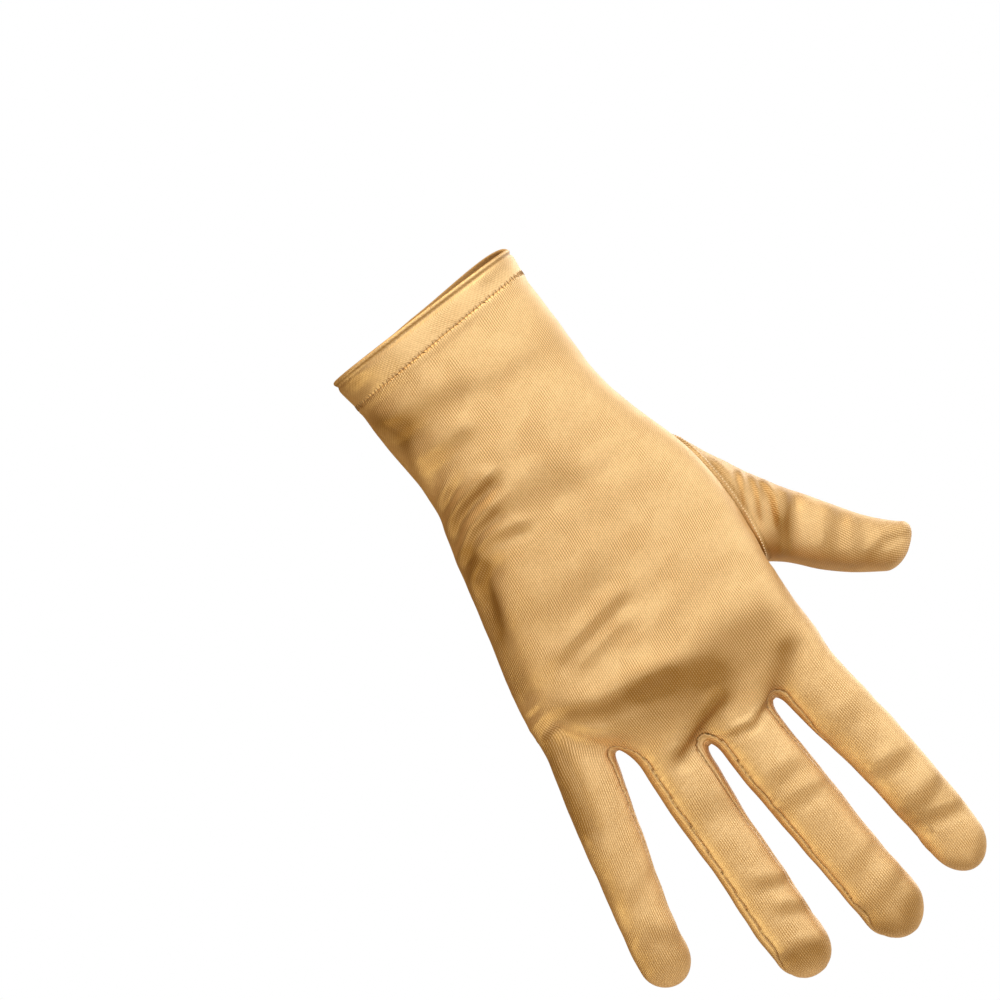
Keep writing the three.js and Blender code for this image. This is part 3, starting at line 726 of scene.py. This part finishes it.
class Shader(Nodes):
    """A material."""

    def __init__(self, name):
        self.material = bpy.data.materials.new(name)
        self.material.use_nodes = True
        super().__init__(self.material.node_tree)
        self.surface = self.tree.nodes["Principled BSDF"]

    def map(self, name):
        """The two values of a layer that the mesh carries."""
        found = self.node("UVMap", {"uv_map": name}, ())
        split = self.node("SeparateXYZ", {}, (found,))
        return split, Value(self, split.socket.node.outputs[1])

    def noise(self, x, y, detail=2.0, roughness=0.5):
        place = self.node("CombineXYZ", {}, (x, y))
        values = {"Vector": place, "Scale": 1.0, "Detail": detail, "Roughness": roughness}
        return self.node("TexNoise", {"noise_dimensions": "2D"}, values)

    def blend(self, share, first, second):
        """Between two colours, each a Value or a tuple."""
        made = self.tree.nodes.new("ShaderNodeMix")
        made.data_type = "RGBA"
        self.feed(made.inputs[0], share)
        for socket, colour in ((made.inputs[6], first), (made.inputs[7], second)):
            self.feed(socket, colour if isinstance(colour, Value) else (*colour, 1.0))
        return Value(self, made.outputs[2])

    def finish(self, colour, roughness, height, relief, gloss):
        """Joins colour, roughness and height to the surface, with fixed numbers for its gloss."""
        bump = self.node("Bump", {}, {"Height": height, "Distance": relief * MM, "Strength": 1.0})
        looks = {"Base Color": colour, "Roughness": roughness, "Normal": bump, **gloss}
        for key, value in looks.items():
            self.feed(self.surface.inputs[key], value)
        return self.material


# From the first gold to the light gold runs the satin's own uneven tone. The light gold is also painted
# highlight beside the seams and on the hem; the deepest gold is painted shade in folds, seams and shaded
# pieces, and the colour of the stitch marks.
GOLD = (0.57, 0.305, 0.095)
GOLD_LIGHT = (0.97, 0.64, 0.285)
GOLD_SHADE_AND_STITCH = (0.3, 0.13, 0.013)
RIB_CONTRAST = 2.7
RIB_LEAST = 0.35  # how much of the rib shows where it is faintest
RELIEF = 0.07  # height of rib, grain and puckers, in millimetres


def satin(name, shade=1.0, ribbed=1.0, roughness=0.47, metallic=0.6):
    """Satin with its fine lengthwise rib, drawn in at the seams. Shade is 1 in the open: less
    paints shade over the gold and more paints light onto it. Ribbed is how much of the rib shows."""
    cloth = Shader(name)
    across, along = cloth.map("rib")
    seam_along, seam_away = cloth.map("seam")
    fold, plain = cloth.map("fold")

    # Unevenness, from the finest to the broadest
    grain = cloth.noise(across * 2.2, along * 2.2, roughness=0.6)
    fleck = cloth.noise(across * 0.7, along * 0.5, roughness=0.6)
    blot = cloth.noise(across * 0.22, along * 0.22, detail=1.0)
    drift = cloth.noise(across * 0.2, along * 0.1, detail=1.0)
    patch = cloth.noise(across * 0.09, along * 0.13)
    broad = cloth.noise(across * 0.05, along * 0.05 + 7.0)

    # The rib is broken up along its length, and shows in patches and in the folds
    rib = (across + drift * 0.5).wave(RIB_PITCH) * 0.5 + 0.5
    bead = (along + across * 0.5 + drift * 0.5).wave(BEAD_PITCH) * 0.5 + 0.5
    weave = rib * (bead * 0.6 + 0.4)
    shown = ((patch - 0.4) * 4.0 + fold * 1.2).limit(RIB_LEAST, 1.0) * ribbed * (1 - plain)

    # The seams: a groove with its stitches and shade painted along it, and a painted highlight
    # on the drawn cloth beside it
    groove = seam_away.bell(16.0)
    hood_highlight = (seam_away - 0.7).bell(7.0)
    drawn = seam_away.bell(0.3)
    dash = seam_along.wave(STITCH_PITCH) * 0.14 + 0.22
    pucker = cloth.noise(seam_along * 0.8, seam_away * 0.3, detail=1.5)

    light = (weave - 0.35) * shown * RIB_CONTRAST + grain * 0.6 + fleck * 0.3 + broad * 0.4
    # Painted light over the whole piece, where shade is more than 1
    light = (light + (max(shade - 1, 0) - 0.1)).limit(0.0, 1.0)
    tone = cloth.blend(light, GOLD, GOLD_LIGHT)
    # Stitch marks and painted shade along the seam's groove
    tone = cloth.blend(groove * dash, tone, GOLD_SHADE_AND_STITCH)
    # Painted highlight on the drawn cloth beside a seam
    tone = cloth.blend(hood_highlight * 0.4, tone, GOLD_LIGHT)
    # Painted shade in folds and creases, broken up a little by the rib
    tone = cloth.blend(fold * (blot * 0.16 + 1.05 - weave * 0.38), tone, GOLD_SHADE_AND_STITCH)
    # Painted shade over the whole piece, where shade is less than 1
    if shade < 1:
        tone = cloth.blend(1 - shade, tone, GOLD_SHADE_AND_STITCH)
    height = weave * shown + grain * 0.4 + fleck * 0.4 + pucker * drawn * 2.6 - groove * 0.9
    rough = grain * 0.1 + (roughness - 0.05)
    gloss = {"Metallic": metallic, "Anisotropic": 0.5, "Specular IOR Level": 0.5}
    return cloth.finish(tone, rough, height, RELIEF, gloss)


satin_main = satin("gold_satin")
# The thumb and the strips between the fingers are copies with painted shade, the hem a copy with painted
# light; the inside is darkened partly as the duller back of the satin, partly as painted shade
satin_thumb = satin("gold_satin_thumb", shade=0.92)
satin_strip = satin("gold_satin_strip", shade=0.95, ribbed=0.5)
satin_hem = satin("gold_satin_hem", shade=1.15, ribbed=0.45)
satin_inside = satin("gold_satin_inside", shade=0.25, ribbed=0.5, roughness=0.7, metallic=0.05)


def thread(name, colour):
    """Sewing thread, uneven where its strands twist."""
    strand = Shader(name)
    place = strand.node("TexCoord", {}, (), output=3)
    twist = strand.node("TexNoise", {}, {"Vector": place, "Scale": 2500.0, "Detail": 1.0})
    tone = strand.blend(twist, tuple(c * 0.7 for c in colour), colour)
    return strand.finish(tone, 0.55, twist, 0.05, {})


thread_seam = thread("thread_seam", (0.72, 0.44, 0.18))
thread_hem = thread("thread_hem", (0.36, 0.19, 0.05))
thread_light = thread("thread_light", (0.98, 0.72, 0.38))


# The hand and the strips between its fingers, from one skin
SKIN_LOW = (-71.0, -25.0, -233.0)
SKIN_HIGH = (43.0, 27.0, -3.0)
points, quads = skin(hand_away, SKIN_LOW, SKIN_HIGH, GRAIN)


def below_hem(p):
    """How far below the hem's thread each point lies."""
    return -p[..., 2] - hem_end(p[..., 0])


points, faces, _ = cut(points, quads, below_hem, GRAIN)
strip_faces = {}
for pair in STRIPS:
    points, faces, strip_faces[pair] = cut(points, faces, strip_value(*pair), GRAIN)


def thumb_rings(steps, sides):
    """Rings of points down the thumb, with a round end."""
    rows = np.array(THUMB_ROWS, float)
    length = path_length(rows[:, :3])
    fine = np.arange(0, length[-1] + STEP / 2, STEP)
    smooth = [spread_over(np.interp(fine, length, rows[:, k]), THUMB_EVENED) for k in range(6)]
    rings = []
    for along in np.linspace(0, length[-1], steps):
        rings.append((*[np.interp(along, fine, column) for column in smooth], 1.0))
    last = np.array(rings[-1][:3])
    cap = np.linalg.norm(np.array(THUMB_TIP) - rows[-1, :3])
    cap_steps = max(4, int(steps * cap / length[-1] * 1.3))
    for k in range(1, cap_steps + 1):
        turn = k / cap_steps * math.pi / 2
        spot = last + (np.array(THUMB_TIP) - last) * math.sin(turn)
        rings.append((*spot, *rings[-1][3:6], max(math.cos(turn) ** 0.9, 0.004)))
    out = []
    for x, down, y, slant, half, depth, shrink in rings:
        turn = math.radians(slant)
        c, s = (boxed(share, SQUARENESS) for share in circle(sides))
        c = c * half * shrink
        s = s * depth * shrink
        out.append(np.stack([x + math.sin(turn) * c, y + s, -down + math.cos(turn) * c], 1))
    return np.array(out)


def ring_faces(rows, sides, closed_end=True):
    """Quads between rings of points. The last ring is filled, or else joined to the first."""
    faces = []
    for r in range(0 if closed_end else -1, rows - 1):
        for i in range(sides):
            j = (i + 1) % sides
            start, after = r % rows * sides, (r + 1) * sides
            faces.append((start + i, after + i, after + j, start + j))
    if closed_end:
        faces.append(tuple((rows - 1) * sides + i for i in range(sides))[::-1])
    return faces


thumb_grid = thumb_rings(THUMB_RINGS, THUMB_SIDES)
thumb_rows, thumb_sides = thumb_grid.shape[:2]
thumb_points = thumb_grid.reshape(-1, 3)
thumb_faces = ring_faces(thumb_rows, thumb_sides)
FAR = 50.0  # stands for anywhere away from the thumb
ROOT_FROM_X = 28.0
ROOT_FROM_DOWN = 60.0
ROOT_TO_DOWN = 130.0
TUCK_IN = 1.2  # how far the hand's cloth goes on inside the thumb
THUMB_TUCK_IN = 0.5  # and the thumb's inside the hand
thumb_tree = BVHTree.FromPolygons(thumb_points.tolist(), thumb_faces + [tuple(range(thumb_sides))])


def thumb_away(p):
    """Signed distance from the thumb's tube for points near its root, negative inside."""
    out = np.full(len(p), FAR)
    near = (p[:, 0] > ROOT_FROM_X) & (-p[:, 2] > ROOT_FROM_DOWN) & (-p[:, 2] < ROOT_TO_DOWN)
    for i in np.nonzero(near)[0]:
        spot, normal, _, distance = thumb_tree.find_nearest(Vector(p[i]))
        side = (Vector(p[i]) - spot).dot(normal)
        out[i] = math.copysign(distance, side)
    return out


thumb_side = thumb_away(points)
faces = [f for f in faces if max(thumb_side[i] for i in f) > -TUCK_IN]
out = slopes(hand_away, points)


def cloth_map(p):
    """Across and along the rib, which follows the hand, then each finger; and how near a point
    lies to the line along a side where the ribs of back and palm meet, from 0 to 1."""
    down = -p[:, 2]
    across = HAND.arc(p)
    hand_middle, hand_half = HAND.section(down)[:2]
    edge = smooth_step((np.abs(p[:, 0] - hand_middle) / hand_half - 0.78) / 0.2)
    near, fingers, runs, bends = [], [], [], []
    for limb in LIMBS.values():
        above = limb.root - RIB_JOINS
        middle, half, back = HAND.section(above)[:3]
        centre = limb.section(above)[0]
        depth = back * (1 - abs((centre - middle) / half) ** HAND_SQUARENESS) ** (1 / HAND_SQUARENESS)
        start = HAND.arc(np.array([[centre, -depth, -above]]))[0]
        flat = p[:, 0] - limb.section(down)[0]
        round_it = np.maximum(smooth_step((down - limb.root + 6) / 22), edge)
        fingers.append(start + flat * (1 - round_it) + limb.arc(p) * round_it)
        near.append(np.exp(-np.clip(limb.away(p), -12, 60) / 2.5))
        runs.append(smooth_step((down - limb.root + RIB_LEAVES) / RIB_LEAVES))
        bends.append(limb.section(down)[4])
    near = np.array(near) / np.sum(near, 0)
    share = np.sum(near * runs, 0)
    across = across * (1 - share) + np.sum(near * runs * np.array(fingers), 0)
    side = p[:, 1] - np.sum(near * np.array(bends), 0)
    return np.stack([across, down], 1), bell(side, 0.8)


def seam_map(p):
    """Along and away from the nearest seam."""
    x, down = p[:, 0], -p[:, 2]
    away = np.abs(down - hem_end(x)) + HEM_FAINT
    along = HAND.arc(p)
    for pair in STRIPS:
        strip_away = np.abs(strip_value(*pair)(p))
        along = np.where(strip_away < away, down, along)
        away = np.minimum(strip_away, away)
    return np.stack([along, away], 1)


rib, side_line = cloth_map(points)
seam = seam_map(points)
# Shade painted into the satin's colour: in the creases on the back, and where the hand meets the thumb
shade = fold_shade(points, CREASES + SHADE_PATCHES) * facing(out, -1)
shade = np.maximum(shade, 0.7 * bell(np.maximum(thumb_side, 0), 0.5))
push = crease_depth(points, CREASES) * facing(out, -1)
push += 0.8 * dent_depth(points, PALM_FOLDS) * facing(out, 1)
push += ripple(points, *HAND_RIPPLE)
push += SEAM_DIP * bell(seam[:, 1], 0.5)
push -= SEAM_SWELL * bell(seam[:, 1] - 1.6, 0.9)
points = points - out * push[:, None]

make_piece("hand", points, faces, rib, seam, shade, satin_main, plain=side_line)
strip_rib = np.stack([points[:, 1], rib[:, 1]], 1)
for pair, strip in strip_faces.items():
    make_piece("fourchette_" + "_".join(pair), points, strip, strip_rib, seam, shade, satin_strip)

# The thumb
outside = hand_away(thumb_points)
row = np.arange(thumb_rows)
ahead = thumb_grid[np.minimum(row + 1, thumb_rows - 1)] - thumb_grid[np.maximum(row - 1, 0)]
beside = np.roll(thumb_grid, -1, 1) - np.roll(thumb_grid, 1, 1)
thumb_out = np.cross(ahead, beside).reshape(-1, 3)
thumb_out /= np.maximum(np.linalg.norm(thumb_out, axis=1, keepdims=True), 1e-9)
centre = thumb_grid.mean(1)
from_centre = (thumb_grid - centre[:, None]).reshape(-1, 3)
thumb_out *= math.copysign(1, np.sum(from_centre * thumb_out, 1).mean())

# Its rib, measured round from the middle of its back; it meets itself on the side at the hand
steps = np.linalg.norm(np.roll(thumb_grid, -1, 1) - thumb_grid, axis=2)
around = np.concatenate([np.zeros((thumb_rows, 1)), np.cumsum(steps, 1)[:, :-1]], 1)
quarter = thumb_sides // 4
around[:, : 2 * quarter] += steps.sum(1)[:, None]
around -= around[:, 3 * quarter : 3 * quarter + 1].copy()
around = around.reshape(-1)
forward = np.repeat(path_length(centre), thumb_sides)
thumb_rib = np.stack([around + RIB_SLANT * forward, forward], 1)
thumb_seam = np.stack([around, np.abs(outside)], 1)

front = facing(thumb_out, -1, 1.5)
# Shade painted into the thumb's colour: in its creases, at its join with the hand, under its roll of cloth
# and just past it
thumb_shade = 1.3 * fold_shade(thumb_points, THUMB_CREASES) * front
for spot, half_width, size in ((0.25, 0.4, 0.75), (PIPING, 0.25, 0.3), (2.1, 0.25, 0.45)):
    thumb_shade += size * bell(outside - spot, half_width)
thumb_shade = np.clip(thumb_shade, 0, DARKEST)
push = crease_depth(thumb_points, THUMB_CREASES) * front
push += ripple(thumb_points, *THUMB_RIPPLE)
push += 0.3 * bell(outside, 0.5)
push -= 0.42 * bell(outside - PIPING, 0.42)
push[-2 * thumb_sides :] = 0
thumb_points = thumb_points - thumb_out * push[:, None]
thumb_kept = [f for f in thumb_faces if max(outside[i] for i in f) > -THUMB_TUCK_IN]
make_piece("thumb", thumb_points, thumb_kept, thumb_rib, thumb_seam, thumb_shade, satin_thumb)

# The hem: the satin turned over at the rim. Its profile outside is given as shares of the way
# from rim to thread, and how far it stands off the hand
HEM_PROFILE = [(1.04, -0.25), (0.98, -0.08), (0.92, 0.0), (0.82, 0.06), (0.68, 0.12), (0.54, 0.18)]
HEM_PROFILE += [(0.42, 0.2), (0.33, 0.14), (0.27, -0.02), (0.22, -0.3), (0.18, -0.36), (0.13, -0.06)]
HEM_INSIDE = (0.25, 0.45, 0.65, 0.85, 1.05)
HEM_LIFT = 0.1  # how far the roll at the rim stands off the hand
HEM_SIDES = 300
ROLL_STEPS = 8
FIRST_INSIDE = 19  # the first row of faces that turns inwards; row 0 closes the profile


def hem_piece():
    """Makes the hem, and gives the line that its thread follows, with its ways out."""
    roll = HEM_WALL / 2
    path = [(share, 0.0, lift) for share, lift in HEM_PROFILE]
    for k in range(ROLL_STEPS + 1):
        turn = math.pi * k / ROLL_STEPS
        path.append((0.0, roll - roll * math.sin(turn), HEM_LIFT - roll + roll * math.cos(turn)))
    path += [(share, 0.0, HEM_LIFT - HEM_WALL) for share in HEM_INSIDE]
    rows = len(path)
    path.append((HEM_THREAD, 0.0, -0.02))
    c, s = circle(HEM_SIDES)
    across, face = boxed(c, HAND_SQUARENESS), boxed(s, HAND_SQUARENESS)
    x = HAND.section(0.0)[0] + across * RIM_HALF
    rings, seams, maps = [], [], []
    for share, extra, lift in path:
        down = hem_end(x) * share + extra
        middle, half, back, palm, _ = HAND.section(down)
        depth = np.where(s < 0, back, palm)
        rise = RIM_RISE * (1 - share) * np.maximum(s, 0) ** 0.8 * ((1 + c) / 2) ** 1.2
        ring = np.stack([middle + across * (half + lift), face * (depth + lift), -down + rise], 1)
        away = np.minimum(np.abs(down - hem_end(x)) + HEM_FAINT, np.abs(down - RIM_LINE) + 0.12)
        rings.append(ring)
        seams.append(np.stack([path_length(ring), away], 1))
        maps.append(np.stack([path_length(ring), down], 1))
    points = np.concatenate(rings)
    way = np.tile(np.stack([across, face, np.zeros(HEM_SIDES)], 1), (len(path), 1))
    down = -points[:, 2]
    # Shade painted under the roll at the rim and along the hem's thread, and in the creases as on the hand
    painted_hem_shade = 0.8 * bell(down - RIM_LINE, 0.5) + 0.3 * bell(down - hem_end(points[:, 0]) - 0.2, 0.5)
    shade = np.maximum(fold_shade(points, CREASES + SHADE_PATCHES) * facing(way, -1), painted_hem_shade)
    push = ripple(points, *HAND_RIPPLE) * np.abs(way[:, 1])
    push += crease_depth(points, CREASES) * facing(way, -1)
    points = points - way * push[:, None]
    kept = rows * HEM_SIDES
    faces = [face[::-1] for face in ring_faces(rows, HEM_SIDES, closed_end=False)]
    maps = np.concatenate(maps)
    seams = np.concatenate(seams)
    piece = make_piece("cuff_hem", points[:kept], faces, maps, seams, shade, satin_hem, wall=0)
    for polygon in piece.data.polygons:
        row = polygon.index // HEM_SIDES
        polygon.material_index = int(row == 0 or row >= FIRST_INSIDE)
    return points[kept:], way[kept:]


hem_line, hem_out = hem_piece()


# Thread
def seam_lines(one, other, shortest=12):
    """Chains the edges that two sets of faces share into lines of point numbers, and leaves out
    the short ones."""
    edges = [
        {frozenset((face[k], face[k - 1])) for face in group for k in range(len(face))}
        for group in (one, other)
    ]
    links = {}
    for a, b in (tuple(edge) for edge in edges[0] & edges[1]):
        links.setdefault(a, []).append(b)
        links.setdefault(b, []).append(a)
    lines = []
    while links:
        start = next((point for point, ends in links.items() if len(ends) == 1), next(iter(links)))
        line = [start]
        while links.get(line[-1]):
            here = line[-1]
            there = links[here].pop()
            links[there].remove(here)
            for point in (here, there):
                if not links[point]:
                    del links[point]
            line.append(there)
        links.pop(start, None)
        lines.append(line)
    return [line for line in lines if len(line) > shortest]


def thread_run(name, lines, material, pitch, length, width, swing=0.0):
    """Stitches along lines of (points, ways out), made by Geometry Nodes. Every other stitch
    swings the other way."""
    mesh = bpy.data.meshes.new(name)
    edges = []
    first = 0
    for line, _ in lines:
        edges += [(first + k, first + k + 1) for k in range(len(line) - 1)]
        first += len(line)
    mesh.from_pydata((np.concatenate([line[0] for line in lines]) * MM).tolist(), edges, [])
    out_way = mesh.attributes.new("out_way", "FLOAT_VECTOR", "POINT")
    out_way.data.foreach_set("vector", np.concatenate([line[1] for line in lines]).ravel())
    run = add_object(name, mesh)

    tree = bpy.data.node_groups.new(name, "GeometryNodeTree")
    tree.interface.new_socket("Geometry", in_out="INPUT", socket_type="NodeSocketGeometry")
    tree.interface.new_socket("Geometry", in_out="OUTPUT", socket_type="NodeSocketGeometry")
    modifier = run.modifiers.new("stitches", "NODES")
    sizes = {"pitch": pitch * MM, "length": length * MM, "width": width * MM, "swing": swing}
    sockets = {}
    for key in sizes:
        socket = tree.interface.new_socket(key, in_out="INPUT", socket_type="NodeSocketFloat")
        sockets[key] = socket.identifier

    def add(kind, inputs, output=0, **settings):
        """Adds a node and gives one of its outputs, if it has any."""
        made = tree.nodes.new(kind)
        for key, setting in settings.items():
            setattr(made, key, setting)
        for key, value in inputs.items():
            if isinstance(value, bpy.types.NodeSocket):
                tree.links.new(value, made.inputs[key])
            else:
                made.inputs[key].default_value = value
        return made.outputs[output] if made.outputs else None

    def align(axis, inputs, **settings):
        return add("FunctionNodeAlignRotationToVector", inputs, axis=axis, **settings)

    def calculate(operation, *values):
        return add("ShaderNodeMath", dict(enumerate(values)), operation=operation)

    given = tree.nodes.new("NodeGroupInput").outputs
    curve = add("GeometryNodeMeshToCurve", {"Mesh": given["Geometry"]})
    spacing = {"Curve": curve, "Length": given["pitch"]}
    spaced = add("GeometryNodeResampleCurve", spacing, mode="LENGTH")
    spots = add("GeometryNodeCurveToPoints", {"Curve": spaced}, mode="EVALUATED")
    tangent = spots.node.outputs["Tangent"]
    way = add("GeometryNodeInputNamedAttribute", {"Name": "out_way"}, data_type="FLOAT_VECTOR")
    upright = align("Z", {"Rotation": align("X", {"Vector": tangent}), "Vector": way}, pivot_axis="X")
    odd = calculate("MODULO", add("GeometryNodeInputIndex", {}), 2.0)
    side = calculate("MULTIPLY_ADD", odd, 2.0, -1.0)
    uneven = add("FunctionNodeRandomValue", {2: 0.6, 3: 1.3, "Seed": 7}, output=1, data_type="FLOAT")
    swung = calculate("MULTIPLY", calculate("MULTIPLY", side, given["swing"]), uneven)
    swing_turn = add("FunctionNodeEulerToRotation", {0: add("ShaderNodeCombineXYZ", {"Z": swung})})
    turns = {0: upright, 1: swing_turn}
    rotation = add("FunctionNodeRotateRotation", turns, rotation_space="LOCAL")
    ball = add("GeometryNodeMeshUVSphere", {"Segments": 6, "Rings": 5, "Radius": 0.5})
    scale = {"X": given["length"], "Y": given["width"], "Z": given["width"]}
    size = add("ShaderNodeCombineXYZ", scale)
    stitches = {"Points": spots, "Instance": ball, "Rotation": rotation, "Scale": size}
    placed = add("GeometryNodeInstanceOnPoints", stitches)
    solid = add("GeometryNodeRealizeInstances", {"Geometry": placed})
    smooth = add("GeometryNodeSetShadeSmooth", {"Geometry": solid})
    painted = add("GeometryNodeSetMaterial", {"Geometry": smooth, "Material": material})
    add("NodeGroupOutput", {"Geometry": painted})

    modifier.node_group = tree
    for key, value in sizes.items():
        modifier[sockets[key]] = value
    bpy.context.view_layer.update()
    graph = bpy.context.evaluated_depsgraph_get()
    made = bpy.data.meshes.new_from_object(run.evaluated_get(graph), depsgraph=graph)
    run.modifiers.clear()
    run.data = made
    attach(run, "root")


strip_lines = []
for pair, strip in strip_faces.items():
    for line in seam_lines(faces, strip):
        strip_lines.append((points[line] + out[line] * 0.03, out[line]))
thread_run("glove_finger_thread", strip_lines, thread_seam, STITCH_PITCH, length=0.8, width=0.17)

loop = [*range(HEM_SIDES), 0]
hem_loop = [((hem_line + hem_out * 0.1)[loop], hem_out[loop])]
thread_run("glove_hem_thread", hem_loop, thread_hem, pitch=1.25, length=1.9, width=0.22, swing=1.3)

# Round the thumb, where its tube comes out of the roll of cloth
ridge, ridge_out = [], []
outside_grid = outside.reshape(thumb_rows, thumb_sides)
for i in [*range(thumb_sides), 0]:
    column = outside_grid[:, i]
    r = int(np.nonzero(column < PIPING)[0].max())
    share = (PIPING - column[r]) / (column[r + 1] - column[r])
    both = np.array([1 - share, share])
    at = [r * thumb_sides + i, (r + 1) * thumb_sides + i]
    ridge.append(both @ thumb_points[at])
    ridge_out.append(both @ thumb_out[at])
ridge = [(np.array(ridge) + np.array(ridge_out) * 0.05, np.array(ridge_out))]
thread_run("glove_thumb_thread", ridge, thread_light, pitch=0.95, length=0.7, width=0.44, swing=0.45)

# Floor
FLOOR_DROP = 0.40
FLOOR_HALF = 0.6
floor_mesh = bpy.data.meshes.new("floor")
corners = [(x * FLOOR_HALF, y * FLOOR_HALF, -FLOOR_DROP) for x, y in ((-1, -1), (1, -1), (1, 1), (-1, 1))]
floor_mesh.from_pydata(corners, [], [range(4)])
floor = add_object("floor", floor_mesh)
paint = Shader("floor_paint")
paint.feed(paint.surface.inputs["Base Color"], (0.85, 0.85, 0.84, 1))
paint.feed(paint.surface.inputs["Roughness"], 0.9)
floor_mesh.materials.append(paint.material)

# Camera
VIEW_POINT = Vector((-0.015, 0.0, -0.0563))
VIEW_ROLL = math.radians(37.5)
VIEW_SPAN = 0.290
VIEW_LENS = 200.0
SENSOR = 36.0
camera_data = bpy.data.cameras.new("camera")
camera_data.lens = VIEW_LENS
camera_data.sensor_width = SENSOR
camera = add_object("camera", camera_data)
place = VIEW_POINT + Vector((0, -VIEW_LENS / SENSOR * VIEW_SPAN, 0))
level = Matrix.Rotation(math.radians(90), 4, "X")
camera.matrix_world = Matrix.Translation(place) @ level @ Matrix.Rotation(-VIEW_ROLL, 4, "Z")
bpy.context.scene.camera = camera

# Lamps
LAMP_DISTANCE = 1.1
LAMP_SIZE = 0.9
LAMP_AIM = Vector((0, 0, -0.11))
COOL = (0.85, 1.0, 1.18)
PLAIN = (0.97, 1.0, 0.76)
WARM = (1.06, 0.95, 0.68)


def softbox(name, right, up, towards, power, colour):
    """A soft lamp, placed as the camera sees it: to the right, up, and towards the camera."""
    data = bpy.data.lights.new(name, "AREA")
    data.shape = "RECTANGLE"
    data.size = data.size_y = LAMP_SIZE
    data.energy = power
    data.color = colour
    lamp = add_object(name, data)
    side = Vector((math.cos(VIEW_ROLL), 0, -math.sin(VIEW_ROLL)))
    over = Vector((math.sin(VIEW_ROLL), 0, math.cos(VIEW_ROLL)))
    lamp.location = LAMP_AIM + (side * right + over * up + Vector((0, -towards, 0))) * LAMP_DISTANCE
    lamp.rotation_euler = (LAMP_AIM - lamp.location).to_track_quat("-Z", "Y").to_euler()


softbox("lamp_above", 0.0, 0.94, 0.34, 5.0, COOL)
softbox("lamp_right", 0.81, 0.47, 0.34, 4.9, COOL)
softbox("lamp_left", -0.47, 0.81, 0.34, 6.8, WARM)
softbox("lamp_below", -0.47, -0.81, 0.34, 5.6, PLAIN)
softbox("lamp_front", 0.0, 0.26, 0.97, 5.6, COOL)
softbox("lamp_back", 0.5, 0.5, -0.75, 7.0, COOL)

# The camera sees white behind the glove, and a dim warm light reaches it from all round
SURROUND = (1, 0.42, 0.03, 1)
SURROUND_POWER = 0.18
world = bpy.data.worlds.new("studio")
world.use_nodes = True
world.node_tree.nodes.clear()
sky = Nodes(world.node_tree)
dim = sky.node("Background", {}, (SURROUND, SURROUND_POWER))
white = sky.node("Background", {}, ((1, 1, 1, 1), 1.0))
camera_ray = sky.node("LightPath", {}, ())
sky.node("OutputWorld", {}, (sky.node("MixShader", {}, (camera_ray, dim, white)),))
bpy.context.scene.world = world
bpy.context.scene.view_settings.view_transform = "Standard"
